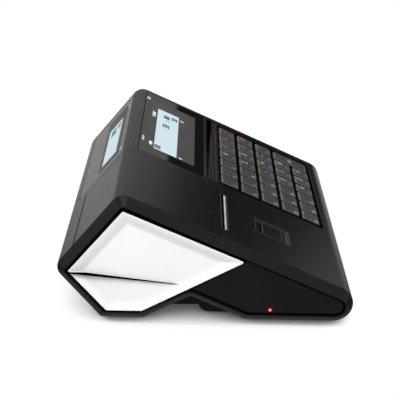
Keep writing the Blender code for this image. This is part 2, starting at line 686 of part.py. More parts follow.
def make_lower_housing():
    """Make the lower housing: the tray below the parting plane, with the belly and the battery bulge."""
    bm = bmesh.new()
    add_body(bm, False)
    tray = finish("lower_housing", bm, PLASTIC)
    belly_low = FOOT_STAND + BELLY_HEIGHT
    belly_top = FOOT_STAND + ARCH_HEIGHT + WALL
    cut(tray, prism_object("belly", rectangle(ARCH_FRONT_Y, ARCH_REAR_Y, belly_low, belly_top), -BELLY_X,
                           BELLY_X, PLASTIC), "UNION")
    bulge = [(BULGE_FRONT_Y, BULGE_LOW, CLEARANCE, 1), (BATTERY_REAR_Y, BULGE_LOW, BATTERY_RADIUS, 4),
             (BATTERY_REAR_Y, belly_top, CLEARANCE, 1), (BULGE_FRONT_Y, belly_top, CLEARANCE, 1)]
    cut(tray, prism_object("bulge", round_corners(bulge), -BULGE_X, BULGE_X, PLASTIC), "UNION")
    cut(tray, half_space("below_parting", False, CLEARANCE / 2), "INTERSECT")
    columns = [(x, y, RIDGE_HEIGHT) for x, y in TALL_SCREWS]
    columns += [(x, y, top) for x, y, top in SHORT_COLUMNS]
    cut(tray, cavity_cutter("bulge_hollow", False, BULGE_X - WALL, columns))
    cut(tray, cavity_cutter("end_hollow", True, INNER_X, columns))
    for word, y in (("front", FOOT_FRONT_Y), ("rear", FOOT_REAR_Y)):
        cut(tray, plate_object(f"{word}_foot_sink", foot_outline(y, CLEARANCE), -OVERRUN,
                               FOOT_STAND + FOOT_SINK + CLEARANCE, PLASTIC))
    cut(tray, screw_holes("lower_screw_holes", ALL_SCREWS))
    cut_battery_opening(tray)


def cut_battery_opening(tray):
    """Cut the battery door's seat and the opening above it."""
    grow = CLEARANCE
    seat_top = BULGE_LOW + BATTERY_DOOR_THICKNESS + grow
    seat = rectangle(BATTERY_LEFT_X - grow, BATTERY_RIGHT_X + grow, BATTERY_DOOR_FRONT_Y - grow,
                     BATTERY_DOOR_REAR_Y + grow)
    cut(tray, plate_object("door_seat", seat, -OVERRUN, seat_top, PLASTIC))


def panel_corners():
    """Return the white panel's corners: the pocket's two upper sides, and its own lower edge."""
    inset = BAND_DROP + BAND_LIP + PANEL_GAP
    shift = inset / math.cos(DECK_ANGLE)
    deck_side = RIDGE - Vector((0, shift))
    rear_side = RIDGE - Vector((0, inset / math.cos(REAR_ANGLE)))
    under_side = HEEL_CORNER - Vector((inset / math.sin(UNDERCUT_ANGLE), 0))
    low_front = Vector((PANEL_LOW_FRONT_Y, PANEL_LOW_HEIGHT))
    lower = low_front - deck_point(PANEL_TIP_S, PANEL_TIP_DEPTH)
    lower_angle = math.atan2(lower.y, lower.x)
    tip = line_crossing(deck_side, DECK_ANGLE, low_front, lower_angle)
    top = line_crossing(deck_side, DECK_ANGLE, rear_side, -REAR_ANGLE)
    back = line_crossing(rear_side, -REAR_ANGLE, under_side, UNDERCUT_ANGLE)
    heel = line_crossing(under_side, UNDERCUT_ANGLE, low_front, 0)
    return [(place.x, place.y, PANEL_CORNER_RADIUS, 2) for place in (tip, low_front, heel, back, top)]


def make_end_panel(name, side):
    """Make a white end panel: a pentagon with a wide bevel that falls to a dished floor."""
    back = POCKET_X + CLEARANCE
    face = back + PANEL_THICKNESS
    corners = panel_corners()
    bm = bmesh.new()
    rings = []
    for x, inset in ((back, 0), (face, 0), (face - PANEL_DISH, PANEL_BEVEL)):
        rings.append([bm.verts.new((side * x, y, z)) for y, z in round_corners(corners, inset)])
    for first, last in zip(rings, rings[1:]):
        bridge(bm, first, last)
    bm.faces.new(rings[0])
    bm.faces.new(list(reversed(rings[-1])))
    return finish(name, bm, WHITE_PLASTIC)


def skirt_corners(grow):
    """Return the skirt's corners: along the deck's band, round the nose, the sole and the arch's front."""
    corners = panel_corners()
    tip = Vector(corners[0][:2])
    low_front = Vector(corners[1][:2])
    lower = low_front - tip
    lower_angle = math.atan2(lower.y, lower.x)
    away = Vector((lower.y, -lower.x)).normalized() * (PANEL_GAP - grow)
    edge = tip + away
    drop = BAND_DROP + BAND_LIP + SKIRT_GAP - grow
    deck_side = RIDGE - Vector((0, drop / math.cos(DECK_ANGLE)))
    sole = (0, FOOT_STAND + drop)
    arch_angle = math.atan2(ARCH_HEIGHT, ARCH_PEAK_Y - ARCH_FRONT_Y)
    arch_side = Vector((ARCH_FRONT_Y, FOOT_STAND + drop / math.cos(arch_angle)))
    top = line_crossing(deck_side, DECK_ANGLE, edge, lower_angle)
    nose = line_crossing(deck_side, DECK_ANGLE, sole, 0)
    heel = line_crossing(sole, 0, arch_side, arch_angle)
    point = line_crossing(arch_side, arch_angle, edge, lower_angle)
    return [(nose.x, nose.y, NOSE_RADIUS - drop, NOSE_STEPS), (heel.x, heel.y, ARCH_RADIUS, 2),
            (point.x, point.y, CLEARANCE, 1), (top.x, top.y, CLEARANCE, 1)]


def make_skirt(name, side, with_lamp):
    """Make a side skirt with a stepped lip round its face, and the lamp's hole on the operator's left."""
    back = POCKET_X + CLEARANCE
    face = back + SKIRT_THICKNESS
    corners = skirt_corners(0)
    steps = ((back, 0), (face - SKIRT_LIP_DROP, 0), (face - SKIRT_LIP_DROP, SKIRT_LIP), (face, SKIRT_LIP))
    bm = bmesh.new()
    rings = []
    for x, inset in steps:
        rings.append([bm.verts.new((side * x, y, z)) for y, z in round_corners(corners, inset)])
    for first, last in zip(rings, rings[1:]):
        bridge(bm, first, last)
    bm.faces.new(rings[0])
    bm.faces.new(list(reversed(rings[-1])))
    skirt = finish(name, bm, SKIRT_PLASTIC)
    if with_lamp:
        bm = bmesh.new()
        add_rod(bm, (LAMP_Y, LAMP_HEIGHT), LAMP_RADIUS + CLEARANCE, side * (back - OVERRUN),
                side * (face + OVERRUN), HOLE_SIDES)
        cut(skirt, finish(name + "_lamp_hole", bm, SKIRT_PLASTIC))


def make_lamp():
    """Make the red status lamp: a lens rod with a domed end in the left skirt."""
    face = POCKET_X + CLEARANCE + SKIRT_THICKNESS
    rings = [(face - LAMP_LENGTH, 1.0)]
    rings += [(face - LAMP_RADIUS * depth, share) for depth, share in LAMP_DOME_SHARES]
    bm = bmesh.new()
    loops = []
    for x, share in rings:
        loop = []
        for index in range(HOLE_SIDES):
            angle = math.tau * index / HOLE_SIDES
            radius = LAMP_RADIUS * share
            loop.append(bm.verts.new((-x, LAMP_Y + radius * math.cos(angle),
                                      LAMP_HEIGHT + radius * math.sin(angle))))
        loops.append(loop)
    for first, last in zip(loops, loops[1:]):
        bridge(bm, first, last)
    bm.faces.new(loops[0])
    bm.faces.new(list(reversed(loops[-1])))
    finish("status_lamp", bm, LAMP_PLASTIC, smooth=True)


def make_displays():
    """Make both lenses, flush with the housing, and the display module behind each."""
    seat = LENS_THICKNESS + CLEARANCE
    deck_plate("operator_lens", LENS_LEFT_X, LENS_RIGHT_X, LENS_TOP_S, LENS_BOTTOM_S, 0, LENS_THICKNESS,
               LENS_PLASTIC, LENS_RADIUS)
    deck_plate("operator_display", SCREEN_LEFT_X, SCREEN_RIGHT_X, SCREEN_TOP_S, SCREEN_BOTTOM_S, seat,
               seat + SCREEN_THICKNESS, SCREEN_GLASS)
    rear_plate("customer_lens", GUEST_LENS_LEFT_X, GUEST_LENS_RIGHT_X, GUEST_LENS_TOP_S,
               GUEST_LENS_BOTTOM_S, 0, LENS_THICKNESS, LENS_PLASTIC, LENS_RADIUS)
    rear_plate("customer_display", GUEST_SCREEN_LEFT_X, GUEST_SCREEN_RIGHT_X, GUEST_SCREEN_TOP_S,
               GUEST_SCREEN_BOTTOM_S, seat, seat + SCREEN_THICKNESS, SCREEN_GLASS)


def cornered_ring(bm, half_x, half_y, corner, z):
    """Return a ring of eight vertices: a rectangle with its corners cut."""
    places = [(-half_x + corner, -half_y), (half_x - corner, -half_y), (half_x, -half_y + corner),
              (half_x, half_y - corner), (half_x - corner, half_y), (-half_x + corner, half_y),
              (-half_x, half_y - corner), (-half_x, -half_y + corner)]
    return [bm.verts.new((x, y, z)) for x, y in places]


def key_mesh(length):
    """Return a key's mesh, centred on its stem: stem, skirted cap, bevelled crown."""
    half_x = (KEY_PITCH_X - KEY_GAP_X) / 2
    half_y = length / 2
    stem = KEY_STEM_WIDTH / 2
    levels = [(stem, stem, -KEY_HEIGHT - KEY_STEM_LENGTH), (stem, stem, -KEY_HEIGHT),
              (half_x, half_y, -KEY_HEIGHT), (half_x - KEY_TAPER / 2, half_y - KEY_TAPER / 2, -KEY_CROWN),
              (half_x - KEY_TAPER, half_y - KEY_TAPER, 0)]
    bm = bmesh.new()
    rings = [cornered_ring(bm, wide, deep, KEY_CROWN, z) for wide, deep, z in levels]
    for first, last in zip(rings, rings[1:]):
        bridge(bm, first, last)
    bm.faces.new(rings[0])
    bm.faces.new(list(reversed(rings[-1])))
    bmesh.ops.recalc_face_normals(bm, faces=bm.faces)
    mesh = bpy.data.meshes.new("key")
    bm.to_mesh(mesh)
    bm.free()
    mesh.materials.append(KEY_PLASTIC)
    return mesh


def key_places():
    """Return (name, x, distance down the deck, cap length) of all keys, the double key last."""
    single = KEY_PITCH_S - KEY_GAP_S
    places = []
    for row in range(KEY_ROWS):
        for column in range(KEY_COLUMNS):
            x = KEY_LEFT_X + column * KEY_PITCH_X + (KEY_PITCH_X - KEY_GAP_X) / 2
            distance = KEY_TOP_S + row * KEY_PITCH_S + single / 2
            if column == KEY_COLUMNS - 1 and row >= KEY_ROWS - 2:
                continue
            places.append((f"key_row{row + 1}_column{column + 1}", x, distance, single))
    x = KEY_LEFT_X + (KEY_COLUMNS - 1) * KEY_PITCH_X + (KEY_PITCH_X - KEY_GAP_X) / 2
    length = single + KEY_PITCH_S
    places.append(("key_total", x, KEY_TOP_S + (KEY_ROWS - 2) * KEY_PITCH_S + length / 2, length))
    return places


def make_keys():
    """Make the 34 keys, each a separate object at its own place on the deck."""
    meshes = {}
    for name, x, distance, length in key_places():
        if length not in meshes:
            meshes[length] = key_mesh(length)
        key = bpy.data.objects.new(name, meshes[length])
        bpy.context.collection.objects.link(key)
        key.matrix_world = DECK @ Matrix.Translation((x, -distance, 0))


def make_key_guide():
    """Make the keypad frame: a tray wall under the well's rim and a plate with a hole for each stem."""
    outer = rectangle(WELL_LEFT_X - GUIDE_MARGIN, WELL_RIGHT_X + GUIDE_MARGIN, -WELL_BOTTOM_S - GUIDE_MARGIN,
                      -WELL_TOP_S + GUIDE_MARGIN)
    inner = rectangle(WELL_LEFT_X, WELL_RIGHT_X, -WELL_BOTTOM_S, -WELL_TOP_S)
    top = -WALL - CLEARANCE
    low = -MAT_DEPTH + CLEARANCE
    guide = plate_object("key_guide", outer, low, top, INNER_PLASTIC, DECK)
    cut(guide, plate_object("guide_upper_bay", inner, -GUIDE_DEPTH, top + OVERRUN, INNER_PLASTIC, DECK))
    cut(guide, plate_object("guide_lower_bay", inner, low - OVERRUN, -GUIDE_DEPTH - GUIDE_THICKNESS,
                            INNER_PLASTIC, DECK))
    half = KEY_STEM_WIDTH / 2 + CLEARANCE
    bm = bmesh.new()
    for _, x, distance, _ in key_places():
        add_box(bm, (x - half, -distance - half, -GUIDE_DEPTH - GUIDE_THICKNESS - OVERRUN),
                (x + half, -distance + half, -GUIDE_DEPTH + OVERRUN))
    cut(guide, finish("stem_holes", bm, INNER_PLASTIC, DECK))


def make_key_electronics():
    """Make the rubber key mat and the keypad's circuit board under the keypad frame."""
    mat_low = MAT_DEPTH + MAT_THICKNESS
    board_high = mat_low + CLEARANCE
    deck_plate("key_mat", WELL_LEFT_X, WELL_RIGHT_X, WELL_TOP_S, WELL_BOTTOM_S, MAT_DEPTH, mat_low,
               MAT_RUBBER)
    deck_plate("main_board", WELL_LEFT_X, WELL_RIGHT_X, WELL_TOP_S, WELL_BOTTOM_S, board_high,
               board_high + BOARD_THICKNESS, BOARD_PLASTIC)


def lid_outline():
    """Return the lid's (y, z) outline: skin over the ridge, hinge barrel behind, paper edge in front."""
    outer = round_corners([(deck_point(LID_FRONT_S, 0).x, deck_point(LID_FRONT_S, 0).y, 0, 1),
                           (rear_point(LID_HINGE_S, 0).x, rear_point(LID_HINGE_S, 0).y, 0, 1),
                           (RIDGE.x, RIDGE.y, RIDGE_RADIUS, ARC_STEPS)])[-(ARC_STEPS + 1):]
    skin = [Vector(point) for point in outer]
    under = []
    for point in skin:
        centre = ridge_centre()
        arm = (point - centre).normalized()
        under.append(centre + arm * (RIDGE_RADIUS - LID_WALL))
    axis = rear_point(LID_HINGE_S, LID_BARREL_RADIUS)
    barrel = []
    for step in range(BARREL_STEPS + 1):
        angle = math.pi / 2 - REAR_ANGLE - math.pi * step / BARREL_STEPS
        barrel.append(axis + LID_BARREL_RADIUS * Vector((math.cos(angle), math.sin(angle))))
    back = rear_point(LID_HINGE_S - LID_BARREL_RADIUS, LID_WALL)
    return ([deck_point(LID_FRONT_S, LID_WALL), deck_point(LID_FRONT_S, 0)] + list(reversed(skin)) + barrel
            + [back] + under)


def ridge_centre():
    """Return the centre of the ridge's round."""
    half = (DECK_ANGLE + REAR_ANGLE) / 2
    reach = RIDGE_RADIUS / math.cos(half)
    lean = (REAR_ANGLE - DECK_ANGLE) / 2
    return RIDGE - reach * Vector((math.sin(lean), math.cos(lean)))


def make_lid():
    """Make the printer lid with its moulded hinge pins and the two cheeks that hold the roller."""
    lid = prism_object("printer_lid", lid_outline(), LID_LEFT_X, LID_RIGHT_X, PLASTIC)
    bm = bmesh.new()
    axis = rear_point(LID_HINGE_S, LID_BARREL_RADIUS)
    add_rod(bm, axis, PIN_RADIUS, LID_LEFT_X - PIN_SEAT, LID_RIGHT_X + PIN_LENGTH, SHAFT_SIDES)
    cut(lid, finish("lid_pins", bm, PLASTIC), "UNION")
    bm = bmesh.new()
    for left in (ROLLER_LEFT_X - CLEARANCE - CHEEK_THICKNESS, ROLLER_RIGHT_X + CLEARANCE):
        add_box(bm, (left, -ROLLER_S - CHEEK_WIDTH / 2, -ROLLER_DEPTH - CHEEK_WIDTH / 2),
                (left + CHEEK_THICKNESS, -ROLLER_S + CHEEK_WIDTH / 2, -LID_WALL / 2))
    cut(lid, finish("lid_cheeks", bm, PLASTIC, DECK), "UNION")
    bm = bmesh.new()
    add_rod(bm, roller_axis(), ROLLER_SHAFT_RADIUS + CLEARANCE, BUCKET_LEFT_X - OVERRUN,
            BUCKET_RIGHT_X + OVERRUN, HOLE_SIDES)
    cut(lid, finish("roller_bores", bm, PLASTIC))


def roller_axis():
    """Return the (y, z) place of the platen roller's axis."""
    return deck_point(ROLLER_S, ROLLER_DEPTH)


def involute(angle):
    """Return the involute function of an angle."""
    return math.tan(angle) - angle


def gear_outline(teeth, centre, phase):
    """Return a spur gear's (y, z) outline, with one tooth centred on the phase angle."""
    pitch = GEAR_MODULE * teeth / 2
    base = pitch * math.cos(PRESSURE_ANGLE)
    root = pitch - DEDENDUM_SHARE * GEAR_MODULE
    tip = pitch + ADDENDUM_SHARE * GEAR_MODULE
    half = math.pi / (2 * teeth) - GEAR_BACKLASH / (4 * pitch) + involute(PRESSURE_ANGLE)
    widths = []
    for radius in (root, pitch, tip):
        lean = involute(math.acos(min(1.0, base / max(radius, base))))
        widths.append((radius, half - lean))
    points = []
    for tooth in range(teeth):
        middle = phase + math.tau * tooth / teeth
        flank = [(radius, middle - width) for radius, width in widths]
        flank += [(radius, middle + width) for radius, width in reversed(widths)]
        points += [(centre.x + radius * math.cos(angle), centre.y + radius * math.sin(angle))
                   for radius, angle in flank]
    return points


def gear_train():
    """Return the (y, z) centres of the roller's gear, the idler and the motor's pinion, top to bottom."""
    top = roller_axis()
    middle = top - Vector((0, GEAR_MODULE * (ROLLER_TEETH + IDLER_TEETH) / 2))
    low = middle - Vector((0, GEAR_MODULE * (IDLER_TEETH + PINION_TEETH) / 2))
    return top, middle, low


def make_roller():
    """Make the platen roller: rubber sleeve, shaft and gear as one turning piece."""
    centre = roller_axis()
    bm = bmesh.new()
    add_rod(bm, centre, ROLLER_RADIUS, ROLLER_LEFT_X, ROLLER_RIGHT_X, ROUND_SIDES)
    roller = finish("platen_roller", bm, RUBBER, smooth=True)
    bm = bmesh.new()
    add_rod(bm, centre, ROLLER_SHAFT_RADIUS, ROLLER_LEFT_X - CHEEK_THICKNESS - CLEARANCE,
            GEAR_X + GEAR_WIDTH / 2, SHAFT_SIDES)
    cut(roller, finish("roller_shaft", bm, STEEL), "UNION")
    gap = math.pi / ROLLER_TEETH
    teeth = gear_outline(ROLLER_TEETH, centre, -math.pi / 2 + gap)
    cut(roller, prism_object("roller_gear", teeth, GEAR_X, GEAR_X + GEAR_WIDTH, GEAR_PLASTIC), "UNION")


def make_gears_and_motor():
    """Make the idler on the frame's stub, and the feed motor with its pinion as a separate piece."""
    _, middle, low = gear_train()
    far = GEAR_X + GEAR_WIDTH
    teeth = gear_outline(IDLER_TEETH, middle, math.pi / 2)
    idler = prism_object("idler_gear", teeth, GEAR_X, far, GEAR_PLASTIC)
    bm = bmesh.new()
    add_rod(bm, middle, STUB_RADIUS + CLEARANCE, GEAR_X - OVERRUN, far + OVERRUN, HOLE_SIDES)
    cut(idler, finish("idler_bore", bm, GEAR_PLASTIC))
    gap = math.pi / PINION_TEETH
    teeth = gear_outline(PINION_TEETH, low, math.pi / 2 + gap)
    pinion = prism_object("motor_pinion", teeth, GEAR_X, far, STEEL)
    bm = bmesh.new()
    add_rod(bm, low, STUB_RADIUS, FRAME_RIGHT_X - FRAME_PLATE - CLEARANCE * 2,
            GEAR_X + GEAR_WIDTH / 2, SHAFT_SIDES)
    cut(pinion, finish("pinion_shaft", bm, STEEL), "UNION")
    bm = bmesh.new()
    face = FRAME_RIGHT_X - FRAME_PLATE - CLEARANCE
    add_rod(bm, low, MOTOR_RADIUS, face - MOTOR_LENGTH, face, ROUND_SIDES)
    motor = finish("feed_motor", bm, STEEL, smooth=True)
    bm = bmesh.new()
    add_rod(bm, low, STUB_RADIUS + CLEARANCE, face - MOTOR_BORE_DEPTH, face + OVERRUN, SHAFT_SIDES)
    cut(motor, finish("motor_bore", bm, STEEL))


def make_printer_frame():
    """Make the printer frame: paper bucket, bed, head carrier, and the plate with the idler's stub."""
    front_s = HEAD_S + HEAD_THICKNESS + CLEARANCE
    bed = HEAD_TOP + HEAD_HEIGHT + BED_GAP
    wall_y = BUCKET_AXIS_Y - BUCKET_RADIUS - BUCKET_WALL
    rear_y = BUCKET_AXIS_Y + BUCKET_RADIUS + BUCKET_WALL
    low_z = BUCKET_AXIS_Z - BUCKET_RADIUS - BUCKET_WALL
    rim_z = BUCKET_AXIS_Z + BUCKET_RIM
    bed_front_low = deck_point(front_s + FRAME_PLATE, bed + FRAME_PLATE)
    bed_front_high = deck_point(front_s, bed)
    sharp = CLEARANCE
    corners = [(*deck_point(front_s + FRAME_PLATE, HEAD_TOP), sharp, 1), (*bed_front_low, sharp, 1),
               (wall_y, bed_front_low.y, sharp, 1), (wall_y, low_z, BUCKET_CORNER, BUCKET_CORNER_STEPS),
               (rear_y, low_z, BUCKET_CORNER, BUCKET_CORNER_STEPS), (rear_y, rim_z, sharp, 1),
               (wall_y, rim_z, sharp, 1),
               (wall_y, bed_front_high.y, sharp, 1), (*bed_front_high, sharp, 1),
               (*deck_point(front_s, HEAD_TOP), sharp, 1)]
    frame = prism_object("printer_frame", round_corners(corners), BUCKET_LEFT_X - BUCKET_WALL, FRAME_RIGHT_X,
                         INNER_PLASTIC)
    bm = bmesh.new()
    axis = (BUCKET_AXIS_Y, BUCKET_AXIS_Z)
    add_rod(bm, axis, BUCKET_RADIUS, BUCKET_LEFT_X, BUCKET_RIGHT_X, BUCKET_SIDES)
    cut(frame, finish("bucket_bore", bm, INNER_PLASTIC))
    mouth = rectangle(BUCKET_AXIS_Y - BUCKET_RADIUS, BUCKET_AXIS_Y + BUCKET_RADIUS, BUCKET_AXIS_Z,
                      rim_z + OVERRUN)
    cut(frame, prism_object("bucket_mouth", mouth, BUCKET_LEFT_X, BUCKET_RIGHT_X, INNER_PLASTIC))
    _, middle, low = gear_train()
    plate_low = low.y - MOTOR_RADIUS
    plate = rectangle(middle.x - MOTOR_RADIUS, middle.x + MOTOR_RADIUS, plate_low,
                      middle.y + STUB_RADIUS * 2)
    cut(frame, prism_object("gear_plate", plate, FRAME_RIGHT_X - FRAME_PLATE, FRAME_RIGHT_X,
                            INNER_PLASTIC), "UNION")
    bm = bmesh.new()
    add_rod(bm, middle, STUB_RADIUS, FRAME_RIGHT_X - FRAME_PLATE / 2, GEAR_X + GEAR_WIDTH, SHAFT_SIDES)
    cut(frame, finish("idler_stub", bm, STEEL), "UNION")
    bm = bmesh.new()
    add_rod(bm, low, STUB_RADIUS + CLEARANCE, FRAME_RIGHT_X - FRAME_PLATE - OVERRUN,
            FRAME_RIGHT_X + OVERRUN, HOLE_SIDES)
    cut(frame, finish("pinion_hole", bm, STEEL))


def make_print_head():
    """Make the thermal print head: a plate on the frame's front carrier, facing the roller."""
    deck_plate("print_head", ROLLER_LEFT_X, ROLLER_RIGHT_X, HEAD_S, HEAD_S + HEAD_THICKNESS, HEAD_TOP,
               HEAD_TOP + HEAD_HEIGHT, ALUMINIUM)


def make_tear_bar():
    """Make the tear bar in the slot's front side, with a toothed upper edge."""
    left = SLOT_LEFT_X + CLEARANCE
    length = SLOT_WIDTH - CLEARANCE * 2
    pitch = length / TEAR_TEETH
    edge = [(left + length, -TEAR_BAR_DEPTH), (left, -TEAR_BAR_DEPTH)]
    for tooth in range(TEAR_TEETH):
        edge += [(left + tooth * pitch, -TEAR_VALLEY), (left + (tooth + 0.5) * pitch, -TEAR_PEAK)]
    edge.append((left + length, -TEAR_VALLEY))
    bm = bmesh.new()
    first = [bm.verts.new((x, -BAR_REAR_S, z)) for x, z in edge]
    last = [bm.verts.new((x, -BAR_FRONT_S, z)) for x, z in edge]
    bridge(bm, first, last)
    bm.faces.new(first)
    bm.faces.new(list(reversed(last)))
    finish("tear_bar", bm, STEEL, DECK)


def make_latch():
    """Make the lid's latch button: a rounded block that is pressed into its guide."""
    half_x = LATCH_BUTTON_WIDTH / 2
    half_y = LATCH_BUTTON_LENGTH / 2
    bm = bmesh.new()
    levels = ((0, -LATCH_BUTTON_HEIGHT), (0, -LATCH_BEVEL), (LATCH_BEVEL, 0))
    rings = [cornered_ring(bm, half_x - inset, half_y - inset, LATCH_BEVEL, z) for inset, z in levels]
    for first, last in zip(rings, rings[1:]):
        bridge(bm, first, last)
    bm.faces.new(rings[0])
    bm.faces.new(list(reversed(rings[-1])))
    place = Matrix.Translation((LATCH_LEFT_X + half_x, -LATCH_TOP_S - half_y, -LATCH_SINK))
    finish("latch_button", bm, SKIRT_PLASTIC, DECK @ place)


def make_base_pieces():
    """Make the battery door and the two rubber foot strips."""
    door = rectangle(BATTERY_LEFT_X, BATTERY_RIGHT_X, BATTERY_DOOR_FRONT_Y, BATTERY_DOOR_REAR_Y)
    plate_object("battery_door", door, BULGE_LOW, BULGE_LOW + BATTERY_DOOR_THICKNESS, PLASTIC)
    for word, y in (("front", FOOT_FRONT_Y), ("rear", FOOT_REAR_Y)):
        plate_object(f"{word}_foot_strip", foot_outline(y, 0), 0, FOOT_STAND + FOOT_SINK, RUBBER)


def main():
    """Make the whole register."""
    clear_scene()
    make_upper_housing()
    make_lower_housing()
    for side, word in ((-1, "left"), (1, "right")):
        make_end_panel(f"{word}_end_panel", side)
        make_skirt(f"{word}_skirt", side, side < 0)
    make_lamp()
    make_displays()
    make_keys()
    make_key_guide()
    make_key_electronics()
    make_lid()
    make_roller()
    make_gears_and_motor()
    make_printer_frame()
    make_print_head()
    make_tear_bar()
    make_latch()
    make_base_pieces()


main()
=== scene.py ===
"""Dress the ticket register for its studio picture.

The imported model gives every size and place. This script adds finishes, printed legends,
display contents and finer forms, and stands the register on a white floor.
"""

import logging
import math
from dataclasses import dataclass
from enum import Enum
from typing import Iterable, Sequence

import bmesh
import bpy
from mathutils import Matrix, Vector


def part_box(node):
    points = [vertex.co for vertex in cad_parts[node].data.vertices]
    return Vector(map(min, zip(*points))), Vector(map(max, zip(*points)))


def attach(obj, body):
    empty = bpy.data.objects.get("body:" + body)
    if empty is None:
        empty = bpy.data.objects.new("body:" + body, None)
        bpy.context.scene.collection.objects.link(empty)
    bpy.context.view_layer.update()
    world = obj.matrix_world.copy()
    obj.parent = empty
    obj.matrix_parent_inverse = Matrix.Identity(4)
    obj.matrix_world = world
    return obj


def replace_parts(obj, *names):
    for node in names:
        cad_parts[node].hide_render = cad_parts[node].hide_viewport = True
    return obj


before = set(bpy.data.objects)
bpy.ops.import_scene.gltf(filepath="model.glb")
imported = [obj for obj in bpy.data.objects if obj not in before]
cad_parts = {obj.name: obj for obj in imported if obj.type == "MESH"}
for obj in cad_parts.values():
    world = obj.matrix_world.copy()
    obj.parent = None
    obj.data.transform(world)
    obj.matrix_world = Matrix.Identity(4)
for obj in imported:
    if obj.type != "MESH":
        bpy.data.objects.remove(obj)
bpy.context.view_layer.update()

LOG = logging.getLogger("ticket_register")
Colour = tuple[float, float, float]
Range = tuple[float, float]
Socket = bpy.types.NodeSocket
Material = bpy.types.Material
Piece = bpy.types.Object
Shape = bmesh.types.BMesh

# Text, place across, place along, height and finish of a print
Print = tuple[str, float, float, float, str]

# Values of a noise between which the gloss changes
NOISE_RANGE = (0.3, 0.7)


class Slot(Enum):
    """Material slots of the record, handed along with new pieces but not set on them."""

    HOUSING = "housing_black"
    SKIRT = "skirt_black"
    PANEL = "panel_white"
    KEY = "key_grey"
    LENS = "lens_dark"
    DISPLAY = "display_pale"
    LAMP = "lamp_red"
    RUBBER = "rubber_black"
    STEEL = "bright_steel"


class Body(Enum):
    """Bodies that new pieces ride on, apart from the keys."""

    HOUSING = "housing"
    LID = "printer_lid"
    LATCH = "latch_button"


class Rounding(Enum):
    """What a round is worked on."""

    EDGES = "EDGES"
    CORNERS = "VERTICES"


class Blend(Enum):
    """How one colour is laid over another."""

    COVER = "MIX"
    SHADE = "MULTIPLY"


# Finishes


def tinted(colour: Colour, share: float, lift: float = 0.0) -> Colour:
    """Return a colour made deeper or paler."""
    return tuple(min(1.0, c * share + lift) for c in colour)


def grey(level: float) -> Colour:
    """Return a neutral colour."""
    return (level, level, level)


class NodeBench:
    """Lays out the nodes of a material or of the world."""

    def __init__(self, tree: bpy.types.NodeTree) -> None:
        """Keep the tree that the nodes stand in."""
        self.tree = tree

    def feed(self, target: Socket, value: object) -> None:
        """Give an input its value, or join it to its source.

        Args:
            target: The input's socket.
            value: A number, a list of numbers or an output's socket.
        """
        if isinstance(value, Socket):
            self.tree.links.new(value, target)
        else:
            target.default_value = value

    def add(
        self, kind: str, inputs: dict[str | int, object] | None = None, **settings: object
    ) -> bpy.types.Node:
        """Add a node.

        Args:
            kind: Blender's name of the node type.
            inputs: Value or source of its inputs, by their names or places.
            settings: Properties to set on the node.

        Returns:
            The new node.
        """
        node = self.tree.nodes.new(kind)
        for key, value in settings.items():
            setattr(node, key, value)
        for key, value in (inputs or {}).items():
            self.feed(node.inputs[key], value)
        return node

    def result(self, operation: str, *values: object) -> Socket:
        """Return what an operation makes of values and sockets."""
        return self.add("ShaderNodeMath", dict(enumerate(values)), operation=operation).outputs[0]

    def graded(
        self,
        value: Socket,
        start: float,
        end: float,
        low: float = 0.0,
        high: float = 1.0,
        **settings: str,
    ) -> Socket:
        """Return a value that goes from low to high as another goes from start to end.

        Args:
            value: The other value.
            start: Where the change starts.
            end: Where the change ends.
            low: Result at start.
            high: Result at end.
            settings: Properties to set on the node.

        Returns:
            The result's socket.
        """
        spans = {"Value": value, "From Min": start, "From Max": end, "To Min": low, "To Max": high}
        return self.add("ShaderNodeMapRange", spans, **settings).outputs["Result"]

    def ramp(self, amount: Socket, stops: Sequence[tuple[float, Colour]]) -> Socket:
        """Return a colour that runs through stops.

        Args:
            amount: Value that picks the colour.
            stops: Place and colour of each stop, in order.

        Returns:
            The colour's socket.
        """
        node = self.add("ShaderNodeValToRGB", {"Fac": amount})
        elements = node.color_ramp.elements
        for position, _ in stops[1:-1]:
            elements.new(position)
        for element, (position, colour) in zip(elements, stops):
            element.position, element.color = position, (*colour, 1)
        return node.outputs["Color"]

    def mixed(self, first: Socket, second: object, blend: Blend, share: object = 1.0) -> Socket:
        """Lay one colour over another by a share.

        Args:
            first: The lower colour.
            second: The upper colour.
            blend: How it is laid over.
            share: How much of it is laid over.

        Returns:
            The mixed colour's socket.
        """
        inputs = {"Factor": share, "A": first, "B": second}
        node = self.add("ShaderNodeMix", inputs, data_type="RGBA", blend_type=blend.value)
        return node.outputs["Result"]

    def show(self, output: str, seen: Socket, gloss: Socket, rest: Socket, glass: bool) -> None:
        """Show one shader to the camera, one to shiny surfaces and one to the rest.

        Args:
            output: Blender's name of the output node.
            seen: Shader that the camera sees.
            gloss: Shader that shiny surfaces see.
            rest: Shader that lights everything else.
            glass: Whether clear surfaces see the shader for shiny ones.
        """
        rays = self.add("ShaderNodeLightPath").outputs
        shiny = rays["Is Glossy Ray"]
        if glass:
            shiny = self.result("MAXIMUM", shiny, rays["Is Transmission Ray"])
        lit = self.add("ShaderNodeMixShader", {0: shiny, 1: rest, 2: gloss}).outputs[0]
        whole = self.add("ShaderNodeMixShader", {0: rays["Is Camera Ray"], 1: lit, 2: seen})
        self.add(output, {"Surface": whole.outputs[0]})


